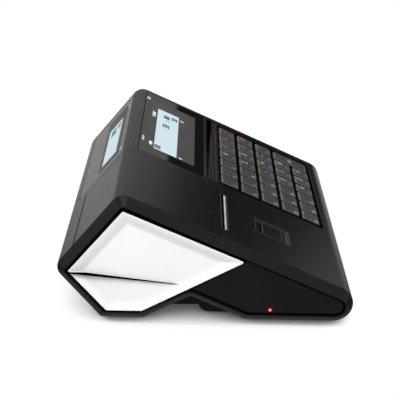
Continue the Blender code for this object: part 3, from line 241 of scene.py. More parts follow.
class FinishBench(NodeBench):
    """Lays out one finish around a Principled shader."""

    def __init__(self, name: str) -> None:
        """Start the finish with a bare shader.

        Args:
            name: Name of the finish.
        """
        self.material = bpy.data.materials.new(name)
        self.material.use_nodes = True
        super().__init__(self.material.node_tree)
        self.shader = self.tree.nodes["Principled BSDF"]
        self.place = self.add("ShaderNodeTexCoord").outputs["Object"]

    def coat(self, inputs: dict[str, object]) -> Material:
        """Feed the shader's own sockets.

        Args:
            inputs: Value or source of the shader's inputs, by their names.

        Returns:
            The material.
        """
        for key, value in inputs.items():
            self.feed(self.shader.inputs[key], value)
        return self.material

    def stretched(self, scale: Sequence[float]) -> Socket:
        """Return object coordinates at a scale."""
        return self.add("ShaderNodeMapping", {"Scale": scale, "Vector": self.place}).outputs["Vector"]

    def noise(self, scale: float, detail: float, place: Socket | None = None) -> Socket:
        """Return the value of a noise texture.

        Args:
            scale: Cells to the metre.
            detail: Octaves of finer noise.
            place: Coordinates, or none for the piece's own.

        Returns:
            The noise's value socket.
        """
        inputs = {"Scale": scale, "Detail": detail, "Vector": place or self.place}
        return self.add("ShaderNodeTexNoise", inputs).outputs["Fac"]

    def relief(self, height: Socket, depth: float, strength: float) -> Socket:
        """Return the normal of a fine relief.

        Args:
            height: Value that raises the surface.
            depth: Height of the relief in metres.
            strength: Share of the relief that shows.

        Returns:
            The normal's socket.
        """
        inputs = {"Distance": depth, "Strength": strength, "Height": height}
        return self.add("ShaderNodeBump", inputs).outputs["Normal"]


@dataclass(frozen=True)
class MouldedPlastic:
    """Plastic from a spark-eroded mould: an even fine grain and slightly uneven gloss."""

    name: str
    colour: Colour
    roughness: float
    gloss: float = 0.5
    grain_scale: float = 2600.0
    grain_depth: float = 0.00001
    grain_strength: float = 0.06
    cloud_scale: float = 28.0
    cloud_share: float = 0.12
    wear_scale: float = 90.0
    roughness_swing: float = 0.02

    def make(self) -> Material:
        """Return the material."""
        return self.lay().material

    def lay(self) -> FinishBench:
        """Lay out the grain, the colour clouds and the uneven gloss.

        Returns:
            The bench with the finish on it.
        """
        bench = FinishBench(self.name)
        deep, pale = (tinted(self.colour, 1 + sign * self.cloud_share) for sign in (-1, 1))
        swing = (self.roughness - self.roughness_swing, self.roughness + self.roughness_swing)
        cloud = bench.noise(self.cloud_scale, detail=4.0)
        grain = bench.noise(self.grain_scale, detail=2.0)
        bench.coat({
            "Base Color": bench.ramp(cloud, ((0.35, deep), (0.65, pale))),
            "Roughness": bench.graded(bench.noise(self.wear_scale, detail=5.0), *NOISE_RANGE, *swing),
            "Specular IOR Level": self.gloss,
            "Normal": bench.relief(grain, self.grain_depth, self.grain_strength),
        })
        return bench


@dataclass(frozen=True)
class DishedPlasticWithPaintedShade(MouldedPlastic):
    """Moulded plastic with a soft grey painted shade along the foot of a dish's rim."""

    floor_x: float = 0.11505
    face_x: float = 0.11735
    # Painted shade: grey level by how far up the dish's rim a place lies
    painted_shades: Sequence[Range] = ((0.0, 1.0), (0.03, 0.93), (0.30, 0.92), (0.75, 1.0))

    def make(self) -> Material:
        """Paint shade onto the plastic by how far out it lies.

        Returns:
            The material.
        """
        bench = self.lay()
        plain = bench.shader.inputs["Base Color"].links[0].from_socket
        across = bench.add("ShaderNodeSeparateXYZ", {0: bench.place}).outputs["X"]
        rise = bench.graded(bench.result("ABSOLUTE", across), self.floor_x, self.face_x)
        shade = bench.ramp(rise, [(position, grey(level)) for position, level in self.painted_shades])
        return bench.coat({"Base Color": bench.mixed(plain, shade, Blend.SHADE)})


@dataclass(frozen=True)
class Metal:
    """Metal with fine drawn lines along one direction."""

    name: str
    colour: Colour
    roughness: float
    line_stretch: tuple[float, float, float] = (0.05, 1.0, 1.0)
    line_scale: float = 2400.0
    line_depth: float = 0.00002
    wear_scale: float = 120.0
    dull_share: float = 0.8
    roughness_range: Range = (-0.06, 0.1)
    metallic: float = 1.0

    def make(self) -> Material:
        """Lay out the drawn lines and the worn patches.

        Returns:
            The material.
        """
        bench = FinishBench(self.name)
        lines = bench.noise(self.line_scale, detail=2.0, place=bench.stretched(self.line_stretch))
        stops = ((0.3, tinted(self.colour, self.dull_share)), (0.6, self.colour))
        swing = (self.roughness + change for change in self.roughness_range)
        return bench.coat({
            "Base Color": bench.ramp(bench.noise(self.wear_scale, detail=4.0), stops),
            "Metallic": self.metallic,
            "Roughness": bench.graded(lines, *NOISE_RANGE, *swing),
            "Normal": bench.relief(lines, self.line_depth, strength=0.3),
        })


@dataclass(frozen=True)
class LitSurface:
    """Surface lit from behind, such as a display's field or a lamp's dome."""

    name: str
    colour: Colour
    glow: Colour
    strength: float
    roughness: float = 0.3
    cloud_scale: float = 35.0
    cell_scale: float = 1800.0
    cell_depth: float = 0.00001

    def make(self) -> Material:
        """Lay out the uneven glow and the fine cells.

        Returns:
            The material.
        """
        bench = FinishBench(self.name)
        cloud = bench.noise(self.cloud_scale, detail=3.0)
        cells = bench.noise(self.cell_scale, detail=1.0)
        body = ((0.3, tinted(self.colour, 0.94)), (0.7, self.colour))
        glow = ((0.3, tinted(self.glow, 0.95)), (0.7, self.glow))
        return bench.coat({
            "Base Color": bench.ramp(cloud, body),
            "Emission Color": bench.ramp(cloud, glow),
            "Emission Strength": self.strength,
            "Roughness": self.roughness,
            "Normal": bench.relief(cells, self.cell_depth, strength=0.15),
        })


@dataclass(frozen=True)
class Rubber:
    """Soft moulded rubber with a chalky bloom."""

    name: str
    colour: Colour
    bloom_scale: float = 150.0
    roughness_range: Range = (0.72, 0.9)
    gloss: float = 0.3
    grain_scale: float = 1500.0
    grain_depth: float = 0.00004

    def make(self) -> Material:
        """Lay out the bloom and the coarse grain.

        Returns:
            The material.
        """
        bench = FinishBench(self.name)
        bloom = bench.noise(self.bloom_scale, detail=5.0)
        grain = bench.noise(self.grain_scale, detail=3.0)
        chalky = tinted(self.colour, 1.6, 0.004)
        return bench.coat({
            "Base Color": bench.ramp(bloom, ((0.35, self.colour), (0.75, chalky))),
            "Roughness": bench.graded(bloom, *NOISE_RANGE, *self.roughness_range),
            "Specular IOR Level": self.gloss,
            "Normal": bench.relief(grain, self.grain_depth, strength=0.4),
        })


@dataclass(frozen=True)
class Laminate:
    """Printed circuit laminate: weave under lacquer, with paler lines between darker fields."""

    name: str
    colour: Colour
    line_pitch: float = 0.0022
    line_share: float = 0.14
    weave_scale: float = 1400.0
    weave_stretch: tuple[float, float, float] = (1.0, 0.2, 1.0)
    weave_depth: float = 0.00002
    roughness_range: Range = (0.28, 0.42)

    def make(self) -> Material:
        """Lay out the conductor lines and the weave.

        Returns:
            The material.
        """
        bench = FinishBench(self.name)
        inputs = {
            "Vector": bench.place,
            "Scale": 1.0,
            "Brick Width": self.line_pitch * 6,
            "Row Height": self.line_pitch,
            "Mortar Size": self.line_pitch * self.line_share,
            "Color1": (*self.colour, 1),
            "Color2": (*tinted(self.colour, 0.8), 1),
            "Mortar": (*tinted(self.colour, 1.8, 0.01), 1),
        }
        lines = bench.add("ShaderNodeTexBrick", inputs, offset=0.5)
        weave = bench.noise(self.weave_scale, detail=2.0, place=bench.stretched(self.weave_stretch))
        return bench.coat({
            "Base Color": lines.outputs["Color"],
            "Roughness": bench.graded(weave, *NOISE_RANGE, *self.roughness_range),
            "Normal": bench.relief(weave, self.weave_depth, strength=0.3),
        })


class Finishes:
    """Every finish of the register, made once and kept by name."""

    def __init__(self) -> None:
        """Make the materials."""
        recipes = (
            MouldedPlastic("satin_black_housing", (0.0038, 0.0037, 0.0033), 0.21),
            MouldedPlastic("rim_black", (0.0105, 0.0103, 0.0098), 0.40),
            MouldedPlastic("skirt_black", (0.0085, 0.0085, 0.0083), 0.38, gloss=0.3),
            # The insert's finish paints shade along the foot of its dish's rim
            DishedPlasticWithPaintedShade(
                "insert_white", (0.80, 0.80, 0.79), 0.34, cloud_share=0.015, grain_strength=0.12
            ),
            MouldedPlastic("key_grey", (0.031, 0.0306, 0.0294), 0.40, grain_scale=2000.0),
            # Paler shoulder finish of the keys: a painted highlight
            MouldedPlastic("key_edge_painted_highlight", (0.085, 0.084, 0.081), 0.36, grain_scale=2000.0),
            MouldedPlastic("key_side_black", (0.0035, 0.0035, 0.0035), 0.5, gloss=0.25),
            MouldedPlastic(
                "lens_dark_gloss",
                (0.0060, 0.0058, 0.0052),
                0.03,
                grain_strength=0.0,
                roughness_swing=0.01,
            ),
            MouldedPlastic(
                "polariser_grey", (0.044, 0.043, 0.042), 0.34, gloss=0.35, grain_strength=0.05
            ),
            MouldedPlastic("inner_black_plastic", (0.02, 0.02, 0.021), 0.5, grain_scale=1200.0),
            MouldedPlastic("gear_ivory", (0.62, 0.6, 0.53), 0.4, grain_scale=1500.0),
            MouldedPlastic("print_pale", (0.78, 0.78, 0.76), 0.5, grain_strength=0.1),
            MouldedPlastic("print_grey", (0.21, 0.21, 0.206), 0.5, grain_strength=0.1),
            MouldedPlastic("print_blue", (0.082, 0.112, 0.148), 0.5, grain_strength=0.1),
            MouldedPlastic("print_rust", (0.16, 0.078, 0.070), 0.5, grain_strength=0.1),
            MouldedPlastic("segment_slate", (0.022, 0.034, 0.044), 0.4, grain_strength=0.1),
            Metal("bright_steel", (0.78, 0.78, 0.77), 0.26),
            Metal("blade_steel", (0.74, 0.74, 0.73), 0.30, metallic=0.6),
            Metal("head_aluminium", (0.72, 0.72, 0.73), 0.34, line_stretch=(1.0, 0.08, 1.0)),
            Metal("motor_can", (0.5, 0.5, 0.49), 0.3, line_stretch=(1.0, 1.0, 0.1)),
            Metal("screw_zinc", (0.42, 0.42, 0.40), 0.32),
            LitSurface("display_field", (0.24, 0.27, 0.28), (0.68, 0.90, 1.0), 0.49),
            LitSurface("lamp_red_dome", (0.30, 0.015, 0.015), (1.0, 0.03, 0.04), 0.30),
            LitSurface("lamp_core", (1.0, 0.30, 0.30), (1.0, 0.26, 0.28), 1.0),
            Rubber("foot_rubber", (0.012, 0.012, 0.012)),
            Rubber("mat_rubber", (0.10, 0.105, 0.11)),
            Rubber("roller_rubber", (0.022, 0.022, 0.023)),
            Laminate("board_green", (0.018, 0.12, 0.06)),
        )
        self.made: dict[str, Material] = {recipe.name: recipe.make() for recipe in recipes}

    def __getitem__(self, name: str) -> Material:
        """Return the material of that name."""
        return self.made[name]


# Shaping


@dataclass(frozen=True)
class Slope:
    """One flat side of the wedge, measured down from the ridge."""

    ridge_y: float
    ridge_z: float
    angle: float
    faces_operator: bool

    def matrix(self) -> Matrix:
        """Return the slope's frame: X, then along the slope towards the rear, then out."""
        turn = self.angle if self.faces_operator else -self.angle
        return Matrix.Translation((0, self.ridge_y, self.ridge_z)) @ Matrix.Rotation(turn, 4, "X")

    def along(self, s: float) -> float:
        """Return the frame's second coordinate at a distance s down from the ridge."""
        return -s if self.faces_operator else s


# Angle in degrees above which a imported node's edges are rounded
SHARP_ANGLE = 32.0

DECK = Slope(0.05627, 0.0920, math.radians(24.2), True)
REAR = Slope(0.05627, 0.0920, math.radians(50.75), False)


def corners(items: Iterable[object]) -> list[bmesh.types.BMVert]:
    """Return the vertices among an operator's results."""
    return [item for item in items if isinstance(item, bmesh.types.BMVert)]


def open_rim(bm: Shape) -> list[bmesh.types.BMEdge]:
    """Return the edges along a shape's openings."""
    return [edge for edge in bm.edges if edge.is_boundary]


def drawn_out(bm: Shape, reach: Sequence[float]) -> None:
    """Draw a shape's open rim out by a distance."""
    drawn = bmesh.ops.extrude_edge_only(bm, edges=open_rim(bm))["geom"]
    bmesh.ops.translate(bm, vec=reach, verts=corners(drawn))


def rounded(
    bm: Shape,
    items: Sequence[object],
    width: float,
    steps: int,
    kind: Rounding = Rounding.EDGES,
    clamp: bool = False,
) -> None:
    """Round edges or corners of a shape.

    Args:
        bm: The shape.
        items: Its edges or corners to round.
        width: Width of the rounds in metres.
        steps: Faces across each round.
        kind: What the round is worked on.
        clamp: Whether rounds shrink where they would meet.
    """
    bmesh.ops.bevel(
        bm,
        geom=items,
        offset=width,
        offset_type="OFFSET",
        affect=kind.value,
        segments=steps,
        profile=0.5,
        material=-1,
        clamp_overlap=clamp,
    )


def round_plate(half_x: float, half_y: float, corner: float, steps: int) -> Shape:
    """Return a flat face with round corners, centred on the origin.

    Args:
        half_x: Half its width.
        half_y: Half its length.
        corner: Radius of its corners.
        steps: Edges round each corner.

    Returns:
        The shape, lying on the plane z = 0.
    """
    bm = bmesh.new()
    bmesh.ops.create_grid(bm, x_segments=1, y_segments=1, size=1)
    bmesh.ops.scale(bm, vec=(half_x, half_y, 1), verts=bm.verts)
    rounded(bm, bm.verts[:], corner, steps, Rounding.CORNERS)
    return bm


def cut(bm: Shape, place: Sequence[float], normal: Sequence[float], clear: bool = False) -> None:
    """Cut a shape along a plane, and clear the far side if asked."""
    whole = bm.verts[:] + bm.edges[:] + bm.faces[:]
    bmesh.ops.bisect_plane(bm, geom=whole, plane_co=place, plane_no=normal, clear_outer=clear)


def block(low: Sequence[float], high: Sequence[float], round_width: float = 0.0) -> Shape:
    """Return a block between two corners, with its edges rounded.

    Args:
        low: Lowest corner.
        high: Highest corner.
        round_width: Width of the rounds, or nought for none.

    Returns:
        The closed shape.
    """
    bm = bmesh.new()
    middle = (Vector(low) + Vector(high)) / 2
    size = Vector(high) - Vector(low)
    bmesh.ops.create_cube(bm, size=1, matrix=Matrix.Translation(middle) @ Matrix.Diagonal((*size, 1)))
    if round_width:
        rounded(bm, bm.edges[:], round_width, steps=2, clamp=True)
    return bm


def stack(
    half_x: float,
    half_y: float,
    corner: float,
    base: float,
    levels: Sequence[tuple[float, float, float]],
) -> Shape:
    """Return a round-cornered block whose sides follow a list of levels.

    Args:
        half_x: Half its width at the base.
        half_y: Half its length at the base.
        corner: Radius of its upright corners.
        base: Height of the base.
        levels: How far the sides have moved in along X and Y, and the height, from the base up.

    Returns:
        The closed shape.
    """
    bm = round_plate(half_x, half_y, corner, steps=4)
    bmesh.ops.translate(bm, vec=(0, 0, base), verts=bm.verts)
    top, before = bm.faces[:][0], None
    for inset_x, inset_y, rise in levels:
        raised = bmesh.ops.extrude_face_region(bm, geom=[top])["geom"]
        if before and top.is_valid:
            bmesh.ops.delete(bm, geom=[top], context="FACES_ONLY")
        top = next(item for item in raised if isinstance(item, bmesh.types.BMFace))
        last_x, last_y = before or (0.0, 0.0)
        share = ((half_x - inset_x) / (half_x - last_x), (half_y - inset_y) / (half_y - last_y), 1)
        bmesh.ops.scale(bm, vec=share, verts=top.verts[:])
        bmesh.ops.translate(bm, vec=(0, 0, rise - top.verts[0].co.z), verts=top.verts[:])
        before = (inset_x, inset_y)
    return bm


def joined(parts: Iterable[Shape]) -> Shape:
    """Return one shape that holds the given ones, which are freed.

    Args:
        parts: Shapes to join.

    Returns:
        The joined shape.
    """
    whole = bmesh.new()
    for part in parts:
        mesh = bpy.data.meshes.new("joining")
        part.to_mesh(mesh)
        part.free()
        whole.from_mesh(mesh)
        bpy.data.meshes.remove(mesh)
    return whole


class Shaper:
    """Turns bmesh shapes into finished pieces."""

    weld = 0.000002
    flat_angle = 0.4
    face_weight = 100

    def __init__(self, finishes: Finishes) -> None:
        """Keep the finishes that pieces are dressed in."""
        self.finishes = finishes

    def piece(
        self,
        name: str,
        bm: Shape,
        finish: str,
        slot: Slot,
        place: Matrix | None = None,
        body: str = Body.HOUSING.value,
        crease: float = 35.0,
    ) -> Piece:
        """Make an object from a shape, put in its place, and let it ride on a body.

        Args:
            name: Name of the piece.
            bm: Its shape, which is freed.
            finish: Name of its finish.
            slot: Material slot of the record.
            place: Matrix that the shape is put in place with.
            body: Body that carries it.
            crease: Angle in degrees above which an edge stays sharp.

        Returns:
            The object, at the origin and unscaled.
        """
        if place is not None:
            bmesh.ops.transform(bm, matrix=place, verts=bm.verts)
        bmesh.ops.recalc_face_normals(bm, faces=bm.faces)
        return self.dressed(name, bm, (finish,), slot, body, crease)

    def dressed(
        self,
        name: str,
        bm: Shape,
        finishes: Sequence[str],
        slot: Slot,
        body: str = Body.HOUSING.value,
        crease: float = 30.0,
    ) -> Piece:
        """Make an object from a shape whose faces already point out.

        Args:
            name: Name of the piece.
            bm: Its shape, which is freed.
            finishes: Names of its finishes, in the order of its faces' numbers.
            slot: Material slot of the record; not used.
            body: Body that carries it.
            crease: Angle in degrees above which an edge stays sharp.

        Returns:
            The object, at the origin and unscaled.
        """
        mesh = bpy.data.meshes.new(name)
        bm.to_mesh(mesh)
        bm.free()
        mesh.shade_smooth()
        mesh.set_sharp_from_angle(angle=math.radians(crease))
        for finish in finishes:
            mesh.materials.append(self.finishes[finish])
        thing = bpy.data.objects.new(name, mesh)
        bpy.context.scene.collection.objects.link(thing)
        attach(thing, body)
        LOG.info("%s: %d faces on %s", name, len(mesh.polygons), body)
        return thing

    def merged(self, node: str) -> Shape:
        """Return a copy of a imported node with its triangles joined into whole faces.

        Args:
            node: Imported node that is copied.

        Returns:
            The copy's shape.
        """
        bm = bmesh.new()
        bm.from_mesh(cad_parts[node].data)
        bmesh.ops.remove_doubles(bm, verts=bm.verts, dist=self.weld)
        limits = {"angle_limit": math.radians(self.flat_angle), "delimit": {"NORMAL"}}
        bmesh.ops.dissolve_limit(bm, verts=bm.verts, edges=bm.edges, **limits)
        return bm

    def refined(
        self,
        node: str,
        finish: str,
        slot: Slot,
        width: float,
        body: str = Body.HOUSING.value,
        clamp: bool = True,
    ) -> None:
        """Stand a softer-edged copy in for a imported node.

        Args:
            node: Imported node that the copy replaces.
            finish: Name of its finish.
            slot: Material slot of the record.
            width: Width of the edge rounds in metres.
            body: Body that carries it.
            clamp: Whether the rounds shrink where edges are close together.
        """
        bm = self.merged(node)
        thing = self.dressed(f"{node}_moulding", bm, (finish,), slot, body, SHARP_ANGLE)
        meeting = {"use_clamp_overlap": clamp, "miter_outer": "MITER_ARC"}
        self.softened(thing, width, SHARP_ANGLE, steps=2, **meeting)
        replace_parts(thing, node)

    def softened(
        self, thing: Piece, width: float, limit: float, steps: int, **settings: object
    ) -> None:
        """Round a piece's edges, and keep its large faces flat.

        Args:
            thing: The piece.
            width: Width of the rounds in metres.
            limit: Angle in degrees above which an edge is rounded.
            steps: Faces across each round.
            settings: Further properties of the rounds.
        """
        edges = thing.modifiers.new("edge_rounds", "BEVEL")
        edges.width = width
        edges.segments = steps
        edges.limit_method = "ANGLE"
        edges.angle_limit = math.radians(limit)
        for key, value in settings.items():
            setattr(edges, key, value)
        self.even(thing)

    def even(self, thing: Piece) -> None:
        """Keep large flat faces flat where smooth shading meets them.

        Args:
            thing: The piece.
        """
        evened = thing.modifiers.new("even_shading", "WEIGHTED_NORMAL")
        evened.keep_sharp = True
        evened.weight = self.face_weight

    def assign(self, node: str, finish: str) -> None:
        """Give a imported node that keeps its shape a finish.

        Args:
            node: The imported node.
            finish: Name of its finish.
        """
        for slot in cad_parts[node].material_slots:
            slot.material = self.finishes[finish]
        LOG.info("%s: %s", node, finish)


class Lettering:
    """Cuts numerals and plain signs as thin raised prints."""

    weld = 0.0001
    cut_depth = 0.01
    line_offset = 0.045
    numeral_share = 0.7

    def __init__(self, thickness: float = 0.00003) -> None:
        """Keep the thickness of the ink."""
        self.thickness = thickness

    def numerals(self, text: str, height: float, place: Vector, turn: float = 0.0) -> Shape:
        """Return centred numerals as a thin closed shape.

        Args:
            text: Numerals and plain signs only.
            height: Height of a numeral in metres.
            place: Where the middle of their underside stands.
            turn: Angle that they are turned by in their plane.

        Returns:
            The shape, lying on the plane z = 0 of its place.
        """
        curve = bpy.data.curves.new("numerals", "FONT")
        curve.body = text
        curve.align_x = "CENTER"
        curve.align_y = "CENTER"
        curve.resolution_u = 2
        curve.extrude = self.cut_depth
        curve.offset = self.line_offset
        holder = bpy.data.objects.new("numerals", curve)
        bpy.context.scene.collection.objects.link(holder)
        shown = holder.evaluated_get(bpy.context.evaluated_depsgraph_get())
        mesh = bpy.data.meshes.new_from_object(shown)
        bm = bmesh.new()
        bm.from_mesh(mesh)
        bpy.data.objects.remove(holder)
        bpy.data.curves.remove(curve)
        bpy.data.meshes.remove(mesh)
        bmesh.ops.remove_doubles(bm, verts=bm.verts, dist=self.weld)
        size = height / self.numeral_share
        bmesh.ops.scale(bm, vec=(size, size, self.thickness / (2 * self.cut_depth)), verts=bm.verts)
        bmesh.ops.translate(bm, vec=(0, 0, self.thickness / 2), verts=bm.verts)
        if turn:
            bmesh.ops.rotate(bm, matrix=Matrix.Rotation(turn, 3, "Z"), verts=bm.verts)
        bmesh.ops.translate(bm, vec=place, verts=bm.verts)
        return bm


# Sub-assemblies


@dataclass
class Casing:
    """Outer mouldings: both housings, the end inserts, the skirts and the status lamp."""

    shaper: Shaper
    edge_round: float = 0.00035
    shadow_gap_tilt: float = 0.3
    insert_height: float = 0.975
    insert_round: float = 0.0006
    insert_crease: float = 40.0
    dish_depth: float = 0.0023
    dish_rings: int = 11
    dish_straight: float = 0.3
    on_face: float = 0.00002
    lamp_y: float = -0.0425
    lamp_z: float = 0.0116
    lamp_radius: float = 0.0016
    lamp_flat: float = 0.55
    core_radius: float = 0.0007
    core_flat: float = 0.4
    core_proud: float = 0.00016

    def build(self) -> None:
        """Dress every outer moulding."""
        for node in ("upper_housing", "lower_housing"):
            self.shaper.refined(node, "satin_black_housing", Slot.HOUSING, self.edge_round, clamp=False)
        for side in ("left", "right"):
            self.insert(f"{side}_end_panel")
            self.shaper.refined(f"{side}_skirt", "skirt_black", Slot.SKIRT, self.edge_round)
        self.lamp()

    def insert(self, node: str) -> None:
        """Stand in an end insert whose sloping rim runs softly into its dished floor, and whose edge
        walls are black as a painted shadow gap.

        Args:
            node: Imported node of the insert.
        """
        bm = self.shaper.merged(node)
        low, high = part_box(node)
        face = min((low.x, high.x), key=lambda x: -abs(x))
        floor_x = face - math.copysign(self.dish_depth, face)
        slopes = [
            e
            for e in bm.edges
            if abs(max((v.co.x for v in e.verts), key=abs) - face) < self.on_face
            and abs(min((v.co.x for v in e.verts), key=abs) - floor_x) < self.on_face
        ]
        rings = bmesh.ops.subdivide_edges(bm, edges=slopes, cuts=self.dish_rings, use_grid_fill=True)
        for corner in corners(rings["geom_inner"]):
            share = self.fall((corner.co.x - face) / (floor_x - face))
            corner.co.x = face + (floor_x - face) * share
        foot = Matrix.Translation((0, 0, -low.z))
        bmesh.ops.scale(bm, vec=(1, 1, self.insert_height), space=foot, verts=bm.verts)
        bm.normal_update()
        # Edge walls take the black finish: a painted shadow in the gap round the insert
        for side in bm.faces:
            side.material_index = int(abs(side.normal.x) < self.shadow_gap_tilt)
        finishes = ("insert_white", "key_side_black")
        thing = self.shaper.dressed(f"{node}_moulding", bm, finishes, Slot.PANEL)
        self.shaper.softened(thing, self.insert_round, self.insert_crease, steps=3)
        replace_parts(thing, node)

    def fall(self, share: float) -> float:
        """Return how far the rim has fallen at a share of its width: a soft S, partly straight."""
        curve = share * share * (3 - 2 * share)
        return self.dish_straight * share + (1 - self.dish_straight) * curve

    def lamp(self) -> None:
        """Make the lamp's dome and the bright core that shows through it."""
        dome = bmesh.new()
        bmesh.ops.create_uvsphere(dome, u_segments=24, v_segments=12, radius=self.lamp_radius)
        cut(dome, (0, 0, 0), (1, 0, 0), clear=True)
        drawn_out(dome, (self.lamp_radius * 2, 0, 0))
        bmesh.ops.holes_fill(dome, edges=open_rim(dome))
        bmesh.ops.scale(dome, vec=(self.lamp_flat, 1, 1), verts=[v for v in dome.verts if v.co.x < 0])
        reach = self.lamp_radius * self.lamp_flat + self.core_proud
        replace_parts(self.lamp_part("status_lamp_dome", dome, "lamp_red_dome", reach), "status_lamp")
        core = bmesh.new()
        bmesh.ops.create_uvsphere(core, u_segments=16, v_segments=8, radius=self.core_radius)
        bmesh.ops.scale(core, vec=(self.core_flat, 1, 1), verts=core.verts)
        self.lamp_part("status_lamp_core", core, "lamp_core", self.core_radius * self.core_flat)

    def lamp_part(self, name: str, bm: Shape, finish: str, reach: float) -> Piece:
        """Return a part of the lamp, placed at a reach in from the outer face."""
        place = Matrix.Translation((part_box("status_lamp")[0].x + reach, self.lamp_y, self.lamp_z))
        return self.shaper.piece(name, bm, finish, Slot.LAMP, place)


@dataclass
class Display:
    """One display: its dark glossy lens, the window in it, the lit field and the figures."""

    shaper: Shaper
    lettering: Lettering
    name: str
    slope: Slope
    lens_x: Range
    lens_s: Range
    window_x: Range
    window_s: Range
    lit_x: Range
    lit_s: Range
    figures: Sequence[Print]
    lens_depth: float = 0.0015
    corner: float = 0.0015
    rim_round: float = 0.00025
    window_rise: float = 0.00018
    window_round: float = 0.00012
    film: float = 0.00004

    def build(self) -> None:
        """Make the display's pieces."""
        matrix = self.slope.matrix()
        shaper = self.shaper
        sheet = self.sheet()
        lens = shaper.piece(f"{self.name}_lens_sheet", sheet, "lens_dark_gloss", Slot.LENS, matrix)
        shaper.even(lens)
        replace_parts(lens, f"{self.name}_lens")
        shaper.assign(f"{self.name}_display", "polariser_grey")
        window = self.plate(self.window_x, self.window_s, -self.rim_round, self.window_rise)
        self.soft_rim(window, self.window_round)
        shaper.even(shaper.piece(f"{self.name}_window", window, "polariser_grey", Slot.LENS, matrix))
        face = self.window_rise + self.film
        lit = self.plate(self.lit_x, self.lit_s, self.window_rise / 2, face)
        shaper.piece(f"{self.name}_lit_field", lit, "display_field", Slot.DISPLAY, matrix)
        turn = 0.0 if self.slope.faces_operator else math.pi
        for index, (text, x, s, height, finish) in enumerate(self.figures, 1):
            in_window = self.window_s[0] < s < self.window_s[1]
            place = Vector((x, self.slope.along(s), face if in_window else 0.0))
            strokes = self.lettering.numerals(text, height, place, turn)
            shaper.piece(f"{self.name}_figures_{index}", strokes, finish, Slot.DISPLAY, matrix)

    def plate(self, xs: Range, ss: Range, low: float, high: float) -> Shape:
        """Return a plate over a zone of the slope.

        Args:
            xs: Range along X.
            ss: Range down the slope.
            low: Height of its underside.
            high: Height of its upper side.

        Returns:
            The shape in the slope's frame.
        """
        ys = sorted(self.slope.along(s) for s in ss)
        return block((xs[0], ys[0], low), (xs[1], ys[1], high))

    @staticmethod
    def soft_rim(bm: Shape, width: float) -> None:
        """Round the upper rim of a plate.

        Args:
            bm: The plate.
            width: Width of the round.
        """
        heights = [v.co.z for v in bm.verts]
        middle = (min(heights) + max(heights)) / 2
        rounded(bm, [e for e in bm.edges if min(v.co.z for v in e.verts) > middle], width, steps=2)

    def sheet(self) -> Shape:
        """Return the lens sheet with round corners and a fine rounded edge.

        Returns:
            The shape in the slope's frame.
        """
        bm = self.plate(self.lens_x, self.lens_s, -self.lens_depth, 0)
        upright = [e for e in bm.edges if abs(e.verts[0].co.z - e.verts[1].co.z) > self.lens_depth / 2]
        rounded(bm, upright, self.corner, steps=6)
        self.soft_rim(bm, self.rim_round)
        return bm


